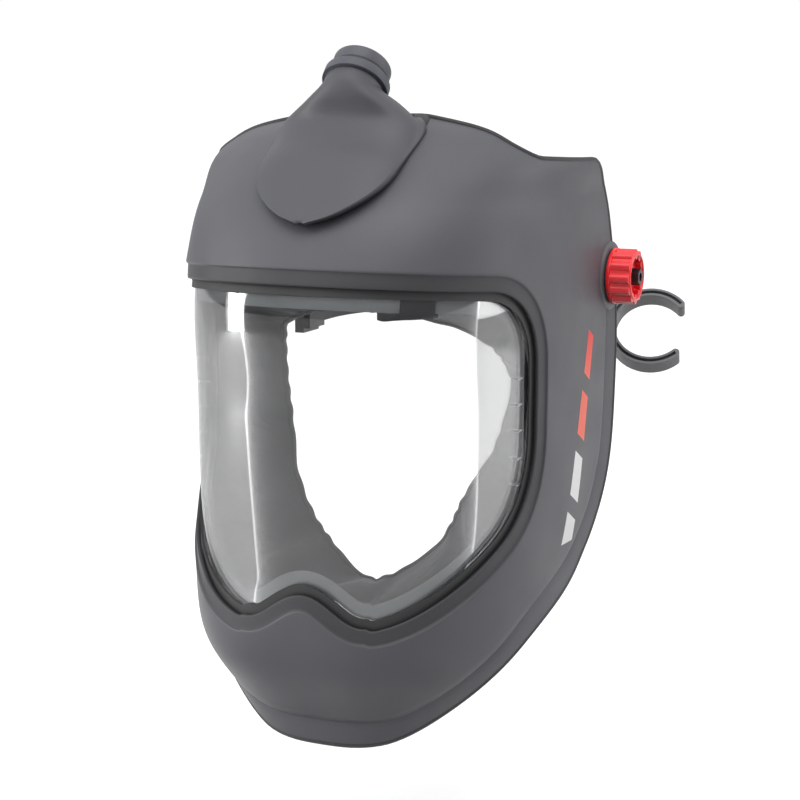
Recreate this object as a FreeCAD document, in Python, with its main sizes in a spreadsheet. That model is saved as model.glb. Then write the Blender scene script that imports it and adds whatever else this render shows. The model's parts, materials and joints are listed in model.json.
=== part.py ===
import FreeCAD, Part
import math
import os
import re
import Sketcher

# Powered air respirator headtop: a hard shell with a wide visor that tilts on a head harness.
# Frame: origin midway between the two pivots, +X to the wearer's left, -Y ahead, +Z up.
# Lengths are in millimetres.

doc = FreeCAD.newDocument("respirator_headtop")
sheet = doc.addObject("Spreadsheet::Sheet", "Sizes")

SIZES = {
    # Plan sections of the shell: height, half width and depth ahead of the pivots
    "crown_level": 92, "crown_half": 60, "crown_depth": 104,
    "dome_level": 86, "dome_half": 84, "dome_depth": 117,
    "temple_level": 76, "temple_half": 100, "temple_depth": 132,
    "forehead_level": 48, "forehead_half": 106, "forehead_depth": 166,
    "brow_level": 17, "brow_half": 107, "brow_depth": 187,
    "cheek_level": -60, "cheek_half": 108, "cheek_depth": 190,
    "jaw_level": -150, "jaw_half": 106, "jaw_depth": 185.5,
    "chin_level": -195, "chin_half": 98.5, "chin_depth": 183,
    "throat_level": -226, "throat_half": 80, "throat_depth": 165,
    "foot_level": -260, "foot_half": 51, "foot_depth": 154,
    "squareness": 2.8, "side_start": -20, "side_reach": 45,
    "shell_wall": 3,
    # Side view of the shell's edge, from the ear's top corner down to the chin
    "dome_back": -98, "notch_level": 73.5, "ear_front": -84, "ear_corner_back": -28,
    "ear_corner_level": 67,
    "edge_ear_back": -9, "edge_ear_level": 50,
    "edge_pivot_back": 5, "edge_pivot_level": 8,
    "edge_cheek_back": 7, "edge_cheek_level": -50,
    "edge_jaw_back": -5, "edge_jaw_level": -111,
    "edge_sweep_back": -47, "edge_sweep_level": -159,
    "edge_under_back": -104, "edge_under_level": -190,
    "edge_chin_back": -152, "edge_chin_level": -244,
    "rim_width": 14, "rim_step": 2.2, "rim_start_level": -60,
    "trim_width": 2.4, "trim_lip": 0.8, "trim_gap": 0.3,
    # Visor opening, seen from the side, and the nose bump in its lower edge
    "visor_back": -104, "visor_top_level": 1.5, "visor_top_rise": 10.5, "visor_top_radius": 40,
    "visor_low_level": -108, "visor_low_fall": 98, "visor_low_radius": 75,
    "visor_run": 123,
    "bump_half": 38, "bump_top_level": -154, "bump_foot_level": -171,
    "recess_width": 7, "recess_depth": 1.6,
    "gasket_thick": 1.5, "lens_thick": 1.5, "lens_lap": 8, "gasket_lap": 1,
    "frame_thick": 2.5, "frame_inside": 7,
    "latch_x": 60, "latch_half": 7, "latch_low_level": -7, "latch_high_level": 5, "latch_thick": 4,
    # Face seal: a fabric skirt from the lens frame back to an opening round the face
    "seal_inside": 2, "seal_gap": 0.4, "seal_thick": 1.6,
    "hem_half": 68, "hem_top_level": -16, "hem_bottom_level": -170, "hem_wide_level": -62,
    "hem_temple_back": -66, "hem_middle_back": -112, "hem_chin_back": -92, "hem_bend": 3,
    "hem_bead": 2.2,
    # Air duct on the forehead
    "cover_rise": 9.5, "cover_wall": 2.2, "cover_seat": 1.2, "cover_tip_level": 37,
    "cover_half": 40, "cover_low_half": 37.5, "cover_low_level": 60, "cover_corner": 14,
    "cover_shoulder_level": 90, "cover_shoulder_radius": 6, "cover_neck_half": 16,
    "cover_neck_level": 108, "cover_back": -99, "gasket_band": 3, "gasket_inside": 0.6,
    "hood_down": 21, "hood_half": 26, "hood_deep": 16, "hood_mid_back": -148, "hood_mid_level": 70,
    "hood_mid_half": 22, "hood_mid_deep": 7.5, "hood_tip_back": -166, "hood_tip_level": 43,
    "hood_tip_r": 4,
    "duct_half": 29, "duct_low_level": 22, "duct_high_level": 84, "duct_reach": 15,
    "duct_wall": 1.8, "diffuser_high": 5, "duct_screw_x": 34, "duct_screw_r": 1.6,
    "duct_screw_head_r": 3, "duct_screw_low_level": 66, "duct_screw_high_level": 79,
    "duct_screw_long": 8, "duct_screw_seat": 0.6, "duct_screw_head": 2, "mouth_gap": 1,
    "hose_room_r": 29,
    # Swivelling hose connector, along an axis that leans back and up
    "hose_y": -115, "hose_level": 107, "hose_lean": 46,
    "neck_r": 15.5, "neck_depth": 16, "throat_r": 12.6, "flange_r": 18.2, "flange_long": 5.4,
    "spigot_r": 16, "spigot_long": 10.5, "spigot_waist_r": 14.6, "bore_r": 10.4,
    "sleeve_long": 13, "ring_gap": 0.3, "sleeve_gap": 0.05, "cord_r": 1,
    # Pivot stack, from the head outwards
    "arm_face": 82, "arm_plate": 6, "arm_front": -26, "arm_back": 30, "arm_top": 36, "arm_low": -42,
    "hub_r": 14, "hub_face": 98, "disc_r": 15, "disc_thick": 2, "disc_gap": 0.05,
    "bush_flange_r": 11, "bush_flange": 2.4, "bush_r": 7, "bush_gap": 0.05,
    "inner_boss_r": 17, "pad_r": 20, "pad_seat": 105.4, "pad_face": 108.4, "pad_round": 1.2,
    "washer_r": 14.5, "washer_thick": 1,
    "bolt_r": 4, "bolt_head_r": 8, "bolt_head": 2.5, "thread_gap": 0.05,
    "hex_flat": 4.2, "hex_end": 125.2, "hex_start": 119.2, "hex_hole_r": 2.4, "hex_hole_deep": 6,
    # Clamp knob
    "knob_lip_r": 16, "knob_lip": 2, "knob_r": 14.2, "knob_face": 123.4, "lobe_r": 2.9,
    "lobe_count": 12, "recess_r": 11.4, "recess_mouth_r": 12.3, "recess_floor": 119,
    "insert_r": 6.2, "insert_face": 118.2, "knob_round": 0.8,
    # Head harness
    "head_half": 80, "strap_thick": 2, "band_centre": -20, "band_low": 2, "band_high": 30,
    "tail_end": -10, "sweat_thick": 4, "sweat_gap": 0.4, "sweat_back": -46,
    "crown_centre": -6, "crown_r": 88, "strap_half": 9, "crown_foot": 27.5,
    "lap_half": 26, "stud_r": 3, "stud_head": 1.2, "stud_gap": 12, "rivet_r": 2, "rivet_level": 31.5,
    "crown_pad_half": 22, "crown_pad_thick": 5, "crown_pad_wide": 15,
    "guide_wall": 1.8, "guide_gap": 0.4, "guide_front": -14, "guide_back": 6,
    # Rear cradle with its ratchet
    "cradle_centre": 22, "cradle_low": -37, "cradle_high": -17, "cradle_front": 4,
    "nape_thick": 6, "nape_gap": 0.4, "nape_front": 62, "nape_over": 7,
    "housing_half": 33, "housing_deep": 13, "housing_over": 5, "housing_wall": 2,
    "cover_plate": 2, "ratchet_level": -27,
    "pinion_r": 6.5, "pinion_long": 8, "pinion_shaft_r": 3.5, "shaft_gap": 0.05,
    "dial_r": 17, "dial_long": 11, "dial_grips": 16, "dial_grip_r": 1.8, "dial_gap": 0.6,
    "cap_r": 7, "cap_deep": 1.5, "post_x": 27, "post_r": 1.7, "post_head_r": 3,
    # Hose clip on the wearer's left
    "clip_x": 108.5, "clip_y": 80, "clip_level": -41.7, "clip_bore_r": 21.4, "clip_wall": 4.8,
    "clip_thick": 12, "clip_open": 90, "clip_turn": 5, "clip_groove": 1.9, "clip_groove_deep": 3,
    "clip_base_r": 4.5, "clip_lean": 52.6, "clip_swing": 11,
}


def fill_sheet():
    """Write every size into the sheet as a plain number with its alias."""
    for row, (alias, number) in enumerate(SIZES.items(), start=1):
        sheet.set(f"A{row}", alias)
        sheet.set(f"B{row}", str(number))
        sheet.setAlias(f"B{row}", alias)
    doc.recompute()


fill_sheet()
parts = []


def bind(text):
    """Turn an expression of size names into one that reads the sheet."""
    return re.sub(r"(?<![a-z_])(?!(?:cos|sin|deg)\b)[a-z][a-z_]+", r"Sizes.\g<0>", str(text))


def size(text):
    """Value of an expression of size names."""
    return float(sheet.evalExpression(bind(text)))


def keep(item, label):
    """Name a finished piece, which also names its file."""
    item.Label = label
    parts.append(item)
    return item


# ---- Small builders -------------------------------------------------------------------------

def feature(shape, label=None):
    """A piece whose shape comes from Part's own functions."""
    item = doc.addObject("Part::Feature", label or "Shape")
    item.Shape = shape
    return keep(item, label) if label else item


def primitive(kind, sizes, at=("0", "0", "0"), turn=None):
    """A Part primitive with its sizes and its place bound to the sheet."""
    item = doc.addObject("Part::" + kind, kind)
    item.Placement = FreeCAD.Placement(FreeCAD.Vector(), turn or FreeCAD.Rotation())
    for name, text in sizes.items():
        item.setExpression(name, bind(text))
    for axis, text in zip("xyz", at):
        item.setExpression("Placement.Base." + axis, bind(text))
    return item


def box(low, high):
    """A box between two corners, each given as three expressions."""
    spans = [f"({b}) - ({a})" for a, b in zip(low, high)]
    return primitive("Box", dict(zip(("Length", "Width", "Height"), spans)), low)


def rod(radius, start, end, across=("0", "0"), axis="x"):
    """A cylinder along one axis, from start to end."""
    turns = {"x": FreeCAD.Rotation(FreeCAD.Vector(0, 1, 0), 90),
             "y": FreeCAD.Rotation(FreeCAD.Vector(1, 0, 0), -90), "z": FreeCAD.Rotation()}
    at = list(across)
    at.insert("xyz".index(axis), start)
    sizes = {"Radius": radius, "Height": f"({end}) - ({start})"}
    return primitive("Cylinder", sizes, at, turns[axis])


def combine(kind, first, second, label=None):
    """Cut, Fuse or Common of two objects."""
    item = doc.addObject("Part::" + kind, kind)
    item.Base = first
    item.Tool = second
    return keep(item, label) if label else item


def cut(first, second, label=None):
    return combine("Cut", first, second, label)


def fuse(first, second, label=None):
    return combine("Fuse", first, second, label)


def common(first, second, label=None):
    return combine("Common", first, second, label)


def group(items, label=None):
    """Several solids in one object."""
    item = doc.addObject("Part::MultiFuse", "Group")
    item.Shapes = items
    return keep(item, label) if label else item


def mirrored(source, label=None):
    """The wearer's right-hand twin of a left-hand piece."""
    item = doc.addObject("Part::Mirroring", "Mirror")
    item.Source = source
    item.Base = FreeCAD.Vector(0, 0, 0)
    item.Normal = FreeCAD.Vector(1, 0, 0)
    return keep(item, label) if label else item


def new_sketch(body, role, name):
    """A sketch on one of the body's own origin planes."""
    item = body.newObject("Sketcher::SketchObject", name)
    plane = next(part for part in body.Origin.OriginFeatures if part.Role == role)
    item.AttachmentSupport = (plane, [""])
    item.MapMode = "FlatFace"
    return item


def constrain(item, kind, geometry, vertex, text):
    """Tie one coordinate of a sketch point to the sheet."""
    index = item.addConstraint(Sketcher.Constraint(kind, -1, 1, geometry, vertex, size(text)))
    item.setExpression(f"Constraints[{index}]", bind(text))


def polygon(item, corners):
    """Closed outline whose corners are pairs of expressions."""
    points = [FreeCAD.Vector(size(a), size(b), 0) for a, b in corners]
    count = len(points)
    for index, point in enumerate(points):
        item.addGeometry(Part.LineSegment(point, points[(index + 1) % count]))
    for index in range(count):
        item.addConstraint(Sketcher.Constraint("Coincident", index, 2, (index + 1) % count, 1))
    for index, (across, up) in enumerate(corners):
        constrain(item, "DistanceX", index, 1, across)
        constrain(item, "DistanceY", index, 1, up)


def circle(item, across, up, radius):
    """Circle with its centre and radius bound to the sheet."""
    centre = FreeCAD.Vector(size(across), size(up), 0)
    geometry = item.addGeometry(Part.Circle(centre, FreeCAD.Vector(0, 0, 1), size(radius)))
    constrain(item, "DistanceX", geometry, 3, across)
    constrain(item, "DistanceY", geometry, 3, up)
    index = item.addConstraint(Sketcher.Constraint("Radius", geometry, size(radius)))
    item.setExpression(f"Constraints[{index}]", bind(radius))


def turned(corners, label=None, tool=False):
    """Body turned about X from an outline of (along, radius) corners."""
    body = doc.addObject("PartDesign::Body", "Turned")
    item = new_sketch(body, "XY_Plane", "Profile")
    polygon(item, corners)
    turn = body.newObject("PartDesign::Revolution", "Turn")
    turn.Profile = item
    axis = next(part for part in body.Origin.OriginFeatures if part.Role == "X_Axis")
    turn.ReferenceAxis = (axis, [""])
    turn.Angle = 360
    body.Tip = turn
    doc.recompute()
    return keep(body, label) if label else body


def ring(radius, bore, start, end, label=None):
    """Plain washer or bush about X."""
    return turned([(start, bore), (end, bore), (end, radius), (start, radius)], label)


# ---- The shell's surface --------------------------------------------------------------------

STATIONS = ("crown", "dome", "temple", "forehead", "brow", "cheek", "jaw", "chin", "throat", "foot")
QUARTER_STEPS = 8
RING_STEPS = 8
WIDE = 260


def plan_section(station, inset):
    """Closed plan outline at one height, moved inwards by inset: a squared front, straight sides."""
    half = size(station + "_half") - inset
    depth = size(station + "_depth") - inset
    level, brow = size(station + "_level"), size("forehead_level")
    level -= inset * max(0, level - brow) / (size("crown_level") - brow)
    start = size("side_start")
    power = 2 / size("squareness")
    points = []
    for step in range(-QUARTER_STEPS, QUARTER_STEPS + 1):
        angle = step / QUARTER_STEPS * math.pi / 2
        across = math.copysign(abs(math.sin(angle)) ** power, angle) * half
        ahead = start - (depth + start) * abs(math.cos(angle)) ** power
        points.append(FreeCAD.Vector(across, ahead, level))
    points[0] = FreeCAD.Vector(-half, start, level)
    points[-1] = FreeCAD.Vector(half, start, level)
    front = Part.BSplineCurve()
    front.interpolate(Points=points, InitialTangent=FreeCAD.Vector(0, -1, 0),
                      FinalTangent=FreeCAD.Vector(0, 1, 0))
    back_left = FreeCAD.Vector(half, size("side_reach"), level)
    back_right = FreeCAD.Vector(-half, size("side_reach"), level)
    return Part.Wire([front.toShape(), Part.makeLine(points[-1], back_left),
                      Part.makeLine(back_left, back_right), Part.makeLine(back_right, points[0])])


skins = {}


def skin(inset):
    """Solid inside the shell's outer surface moved inwards by inset."""
    if inset not in skins:
        sections = [plan_section(station, inset) for station in STATIONS]
        skins[inset] = Part.makeLoft(sections, True, False)
    return skins[inset]


def layer(outside, inside):
    """Sheet between two insets from the shell's outer surface."""
    return skin(outside).cut(skin(inside))


def side_point(ahead, level):
    return FreeCAD.Vector(0, ahead, level)


def side_prism(wire):
    """Solid with the given side view, right across the object."""
    face = Part.Face(wire)
    face.translate(FreeCAD.Vector(-WIDE, 0, 0))
    return face.extrude(FreeCAD.Vector(2 * WIDE, 0, 0))


def front_prism(wire):
    """Solid with the given front view, ahead of the pivots."""
    face = Part.Face(wire)
    face.translate(FreeCAD.Vector(0, -WIDE, 0))
    return face.extrude(FreeCAD.Vector(0, WIDE - 20, 0))


def rounded(corners):
    """Closed wire through (point, radius) corners, with an arc at each radius."""
    edges = []
    last = None
    first = None
    count = len(corners)
    for index, (point, radius) in enumerate(corners):
        before = (corners[index - 1][0] - point).normalize()
        after = (corners[(index + 1) % count][0] - point).normalize()
        if radius:
            half_angle = before.getAngle(after) / 2
            middle = (before + after).normalize()
            reach = radius / math.tan(half_angle)
            centre = point + middle * (radius / math.sin(half_angle))
            start, end = point + before * reach, point + after * reach
            arc = Part.Arc(start, centre - middle * radius, end).toShape()
        else:
            start = end = point
            arc = None
        if last is not None:
            edges.append(Part.makeLine(last, start))
        else:
            first = start
        if arc:
            edges.append(arc)
        last = end
    edges.append(Part.makeLine(last, first))
    return Part.Wire(edges)


def shell_edge(grow=0):
    """Side view of the shell: dome, notch, ear, rear edge and the sweep down to the chin."""
    words = ("ear", "pivot", "cheek", "jaw", "sweep", "under", "chin")
    stops = [side_point(size(f"edge_{word}_back"), size(f"edge_{word}_level")) for word in words]
    corner = side_point(size("ear_corner_back"), size("ear_corner_level"))
    spline = Part.BSplineCurve()
    spline.interpolate(stops)
    run_out = stops[-1] + (stops[-1] - stops[-2]).normalize() * 60
    high = size("crown_level") + 60
    ear_front = side_point(size("ear_front"), size("notch_level") - 4)
    dome_foot = side_point(size("dome_back"), size("notch_level") + 6)
    ear = Part.Arc(corner, (corner + stops[0]) * 0.5 + side_point(4, 2.6), stops[0]).toShape()
    edges = [
        Part.makeLine(side_point(-WIDE, high), side_point(size("dome_back"), high)),
        Part.makeLine(side_point(size("dome_back"), high), dome_foot),
        Part.Arc(dome_foot, (dome_foot + ear_front) * 0.5 + side_point(-1.6, -1.6), ear_front).toShape(),
        Part.makeLine(ear_front, corner), ear, spline.toShape(),
        Part.makeLine(stops[-1], run_out), Part.makeLine(run_out, side_point(-WIDE, run_out.z)),
        Part.makeLine(side_point(-WIDE, run_out.z), side_point(-WIDE, high)),
    ]
    wire = Part.Wire(edges)
    if not grow:
        return wire
    grown = wire.makeOffset2D(grow).Edges
    return Part.Wire([edge.toNurbs().Edges[0] if "Offset" in edge.Curve.TypeId else edge for edge in grown])


def visor_corners():
    """Corners of the visor opening's side view, each with its radius."""
    back = size("visor_back")
    far = back - size("visor_run")
    return [
        (side_point(far, size("visor_top_level + visor_top_rise")), 0),
        (side_point(back, size("visor_top_level")), size("visor_top_radius")),
        (side_point(back, size("visor_low_level")), size("visor_low_radius")),
        (side_point(far, size("visor_low_level - visor_low_fall")), 0),
    ]


def visor_edge(grow):
    """Side view of the visor opening, grown outwards all round."""
    wire = rounded(visor_corners())
    return wire.makeOffset2D(grow) if grow else wire


def nose_bump(grow):
    """Hump that stands up from the opening's lower edge, under the nose."""
    half = size("bump_half") - grow / 2
    foot = size("bump_foot_level") - grow
    top = size("bump_top_level") - grow
    points = []
    for step in range(-4, 5):
        share = step / 4
        level = foot + (top - foot) * (1 + math.cos(math.pi * share)) / 2
        points.append(FreeCAD.Vector(half * share, 0, level))
    crest = Part.BSplineCurve()
    crest.interpolate(Points=points, InitialTangent=FreeCAD.Vector(1, 0, 0),
                      FinalTangent=FreeCAD.Vector(1, 0, 0))
    low = FreeCAD.Vector(0, 0, -60)
    corners = [points[-1], points[-1] + low, points[0] + low, points[0]]
    lines = [Part.makeLine(a, b) for a, b in zip(corners, corners[1:])]
    return front_prism(Part.Wire([crest.toShape()] + lines))


visors = {}


def visor(grow=0):
    """Tool with the visor opening's shape, grown outwards all round."""
    if grow not in visors:
        visors[grow] = side_prism(visor_edge(grow)).cut(nose_bump(grow))
    return visors[grow]


def shield(shrink=0):
    """Tool with the duct cover's front view: a shield with a low tip."""
    half, low = size("cover_half") - shrink, size("cover_low_half") - shrink
    tip, level = size("cover_tip_level") + shrink * 1.2, size("cover_low_level")
    corner, shoulder = size("cover_corner"), size("cover_shoulder_radius")
    left = [((low, level), corner), ((half, size("cover_shoulder_level") - shrink), shoulder),
            ((size("cover_neck_half") - shrink, size("cover_neck_level") - shrink), 0)]
    right = [((-x, z), radius) for (x, z), radius in reversed(left)]
    corners = [((0, tip), corner * 0.7)] + left + right
    return front_prism(rounded([(FreeCAD.Vector(x, 0, z), radius) for (x, z), radius in corners]))


LEAN = math.radians(size("hose_lean"))
HOSE_AXIS = FreeCAD.Vector(0, math.cos(LEAN), math.sin(LEAN))
HOSE_MOUTH = FreeCAD.Vector(0, size("hose_y"), size("hose_level"))


def hose_rod(radius, start, end):
    """Cylinder on the hose axis, measured from the top of the cover's neck."""
    return Part.makeCylinder(radius, end - start, HOSE_MOUTH + HOSE_AXIS * start, HOSE_AXIS)


def both_sides(radius, start, end):
    """Two cylinders about the pivot axis, one on each side."""
    left = Part.makeCylinder(radius, end - start, FreeCAD.Vector(start, 0, 0), FreeCAD.Vector(1, 0, 0))
    return [left, left.mirror(FreeCAD.Vector(), FreeCAD.Vector(1, 0, 0))]


def hood(shrink=0):
    """Body that widens from the neck's mouth over the cover and runs out at its tip."""
    down = HOSE_MOUTH - HOSE_AXIS * size("hood_down")
    stations = [(HOSE_MOUTH, size("neck_r"), size("neck_r")),
                (down, size("hood_half"), size("hood_deep")),
                (FreeCAD.Vector(0, size("hood_mid_back"), size("hood_mid_level")),
                 size("hood_mid_half"), size("hood_mid_deep")),
                (FreeCAD.Vector(0, size("hood_tip_back"), size("hood_tip_level")),
                 size("hood_tip_r") + 0.5, size("hood_tip_r"))]
    turn = FreeCAD.Rotation(FreeCAD.Vector(0, 0, 1), HOSE_AXIS)
    wires = []
    for centre, half, deep in stations:
        oval = Part.Ellipse(FreeCAD.Vector(), half - shrink + 0.01, deep - shrink).toShape()
        oval.Placement = FreeCAD.Placement(centre, turn)
        wires.append(Part.Wire(oval))
    return Part.makeLoft(wires, True)


def duct_screw_rod(radius, start, end):
    """Four cylinders along Y where the duct cover is screwed on."""
    rods = []
    for side in (-1, 1):
        for name in ("duct_screw_low_level", "duct_screw_high_level"):
            across, level = side * size("duct_screw_x"), size(name)
            wall = front_of(across, level, size("shell_wall"))
            foot = FreeCAD.Vector(across, wall + start, level)
            rods.append(Part.makeCylinder(radius, end - start, foot, FreeCAD.Vector(0, 1, 0)))
    return rods


def duct_screw_holes():
    """The screws' holes, and the seats of their heads inside the shell."""
    reach, seat = size("duct_screw_long"), size("duct_screw_seat")
    heads = duct_screw_rod(size("duct_screw_head_r") + size("trim_gap"), seat, seat + reach)
    return duct_screw_rod(size("duct_screw_r"), -reach, reach) + heads


def front_of(across, level, inset):
    """How far ahead the shell's inset surface lies at one place in the front view."""
    start = FreeCAD.Vector(across, size("side_start"), level)
    line = Part.makeLine(start, FreeCAD.Vector(across, -WIDE, level))
    return line.common(skin(inset)).BoundBox.YMin


def side_of(ahead, level, inset):
    """Half width of the shell's inset surface at one place in the side view."""
    line = Part.makeLine(side_point(ahead, level), FreeCAD.Vector(WIDE, ahead, level))
    return line.common(skin(inset)).BoundBox.XMax


def make_shell():
    wall = size("shell_wall")
    edge = side_prism(shell_edge())
    band = layer(-size("rim_step"), 0).common(edge).cut(side_prism(shell_edge(-size("rim_width"))))
    low = FreeCAD.Vector(-WIDE, -WIDE, size("rim_start_level") - WIDE)
    band = band.common(Part.makeBox(2 * WIDE, 2 * WIDE, WIDE, low))
    shape = layer(0, wall).common(edge)
    shape = shape.cut(layer(0, size("recess_depth")).common(visor(size("recess_width"))))
    shape = shape.cut(visor())
    seat, flange = size("pad_seat"), inner_face("bush")
    shape = shape.fuse([band] + both_sides(size("inner_boss_r"), flange, seat))
    shape = shape.cut(both_sides(size("pad_r"), seat, seat + 30) + both_sides(size("bush_r"), 60, seat + 1))
    shape = shape.cut(hose_rod(size("throat_r"), -60, 0))
    shape = shape.cut(duct_screw_holes())
    return feature(shape.removeSplitter(), "outer_shell")


def inner_face(piece):
    """Where the pivot stack's pieces start, going outwards."""
    gap = size("disc_gap")
    disc = size("hub_face") + gap
    bush = disc + size("disc_thick") + gap
    return {"disc": disc, "bush": bush + size("bush_flange")}[piece]


def make_rim_trim():
    outside, inside = -size("rim_step") - size("trim_lip"), size("shell_wall") + size("trim_lip")
    grown = side_prism(shell_edge(size("trim_width")))
    shape = layer(outside, inside).common(grown).cut(side_prism(shell_edge()))
    shape = shape.cut(both_sides(size("pad_r") + size("trim_gap"), 60, WIDE))
    return feature(shape, "rim_trim")


def make_visor():
    wall = size("shell_wall")
    lens = wall + size("gasket_thick")
    frame = lens + size("lens_thick")
    back = frame + size("frame_thick")
    lap = size("lens_lap")
    feature(layer(wall, lens).common(visor(lap)).cut(visor(size("gasket_lap"))), "visor_gasket")
    feature(layer(lens, frame).common(visor(lap)), "visor_lens")
    ring_shape = layer(frame, back).common(visor(lap)).cut(visor(-size("frame_inside")))
    x, half = size("latch_x"), size("latch_half")
    low, high = size("latch_low_level"), size("latch_high_level")
    window = Part.makeBox(2 * half, 200, high - low, FreeCAD.Vector(x - half, -220, low))
    latch = layer(frame, frame + size("latch_thick")).common(window)
    feature(ring_shape.cut(latch), "lens_frame")
    feature(latch, "lens_latch")
    return back


def visor_ring(inset):
    """Points round the visor opening on an inset surface, from the brow round to the chin."""
    run = Part.Wire(rounded(visor_corners()).Edges[:-1]).discretize(Number=120)
    inside = [p for p in run if p.y > front_of(0, p.z, inset) + 2]
    stops = [inside[round(step * (len(inside) - 1) / RING_STEPS)] for step in range(RING_STEPS + 1)]
    side = [FreeCAD.Vector(side_of(p.y, p.z, inset), p.y, p.z) for p in stops]
    top, low = stops[0].z, size("bump_top_level")
    return ring_from(FreeCAD.Vector(0, front_of(0, top, inset), top), side,
                     FreeCAD.Vector(0, front_of(0, low, inset), low))


def ring_from(top, side, low):
    """Closed ring of points from its left half, mirrored to the right."""
    right = [FreeCAD.Vector(-p.x, p.y, p.z) for p in reversed(side)]
    return [top] + side + [low] + right


def hem_ring(out=0):
    """Points round the face opening of the seal: wide at the temples, narrow at the chin."""
    top, low, wide = size("hem_top_level") + out, size("hem_bottom_level") - out, size("hem_wide_level")
    half = size("hem_half") + out
    middle, temple, chin = size("hem_middle_back"), size("hem_temple_back"), size("hem_chin_back")
    side = []
    for step in range(RING_STEPS + 1):
        angle = math.pi * (step + 1) / (RING_STEPS + 2)
        reach = top - wide if angle < math.pi / 2 else wide - low
        level = wide + reach * math.cos(angle)
        end = middle if angle < math.pi / 2 else chin
        back = end + (temple - end) * math.sin(angle) ** size("hem_bend")
        side.append(FreeCAD.Vector(half * math.sin(angle), back, level))
    return ring_from(FreeCAD.Vector(0, middle, top), side, FreeCAD.Vector(0, chin, low))


def skirt(rings):
    """Closed ring of cloth whose wall runs through the given rings of points."""
    wires = [Part.makePolygon(points + [points[0]]) for points in rings]
    faces = []
    for first, second in zip(wires, wires[1:] + wires[:1]):
        faces += Part.makeLoft([first, second], False, True).Faces
    shell = Part.Shell(faces)
    shape = Part.Solid(shell)
    if shape.Volume < 0:
        shape.reverse()
    return shape


def make_face_seal(frame_back):
    start = frame_back + size("seal_gap")
    thick = size("seal_thick")
    outer, inner = visor_ring(start), visor_ring(start + thick)
    hem_out, hem_in = hem_ring(thick), hem_ring()
    feature(skirt([outer, hem_out, hem_in, inner]), "face_seal")
    bead = size("hem_bead")
    back = FreeCAD.Vector(0, size("seal_gap"), 0)
    rings = [hem_ring(), hem_ring(bead)]
    near = [[p + back for p in points] for points in rings]
    far = [[p + back + FreeCAD.Vector(0, bead, 0) for p in points] for points in rings]
    feature(skirt([near[0], near[1], far[1], far[0]]), "seal_hem")


def make_duct():
    seat, rise, thick = size("cover_seat"), size("cover_rise"), size("cover_wall")
    behind = Part.makeBox(2 * WIDE, WIDE, WIDE, FreeCAD.Vector(-WIDE, size("cover_back") - WIDE, 0))
    cover = layer(-rise, -seat).common(shield()).common(behind)
    depth = size("neck_depth")
    cover = cover.fuse(hood())
    hollow = layer(thick - rise, -seat).common(shield(thick)).common(behind.translated(
        FreeCAD.Vector(0, -thick, 0))).fuse(hood(thick))
    swing = size("flange_r") + size("mouth_gap")
    room, over = size("hose_room_r"), size("flange_long")
    over_mouth = [hose_rod(swing, 0, WIDE), hose_rod(room, over, WIDE)]
    hollow = hollow.cut([hose_rod(size("neck_r"), -depth, 1), hose_rod(swing + thick, -thick, WIDE),
                         hose_rod(room + thick, over - thick, WIDE)])
    cover = cover.cut(hollow).cut([skin(-seat), hose_rod(size("throat_r"), -depth - 1, 1)] + over_mouth)
    cover = cover.fuse([post.common(layer(thick / 2 - rise, -seat)) for post in
                        duct_screw_rod(size("duct_screw_head_r"), -30, 0)])
    reach, head_seat = size("duct_screw_long"), size("duct_screw_seat")
    cover = cover.cut(duct_screw_rod(size("duct_screw_r"), -reach, reach))
    feature(biggest(cover.removeSplitter()), "duct_cover")
    band = layer(-seat, 0).common(shield(size("gasket_inside"))).cut(shield(size("gasket_band")))
    band = band.common(behind).cut(over_mouth + duct_screw_rod(size("duct_screw_r"), -reach, reach))
    feature(biggest(band), "duct_gasket")
    shafts = duct_screw_rod(size("duct_screw_r"), -reach, head_seat)
    heads = duct_screw_rod(size("duct_screw_head_r"), head_seat, head_seat + size("duct_screw_head"))
    feature(Part.makeCompound([shaft.fuse(head) for shaft, head in zip(shafts, heads)]), "duct_screws")


def biggest(shape):
    """The largest solid of a shape."""
    return max(shape.Solids, key=lambda solid: solid.Volume)


def make_inner_duct():
    wall, reach, thick = size("shell_wall"), size("duct_reach"), size("duct_wall")
    low, high, half = size("duct_low_level"), size("duct_high_level"), size("duct_half")
    back = size("dome_back") - 2
    out = Part.makeBox(2 * half, back + WIDE, high - low, FreeCAD.Vector(-half, -WIDE, low))
    hole = Part.makeBox(2 * (half - thick), back + WIDE, high - low + WIDE,
                        FreeCAD.Vector(thick - half, -WIDE - thick, low - 1))
    shape = layer(wall, wall + reach).common(out)
    shape = shape.cut(skin(wall - 1).cut(skin(wall + reach - thick)).common(hole))
    feature(biggest(shape), "inner_duct")
    foam = layer(wall, wall + reach - thick).common(Part.makeBox(
        2 * (half - thick), 400, size("diffuser_high"), FreeCAD.Vector(thick - half, -300, low)))
    feature(biggest(foam), "air_diffuser")


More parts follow.
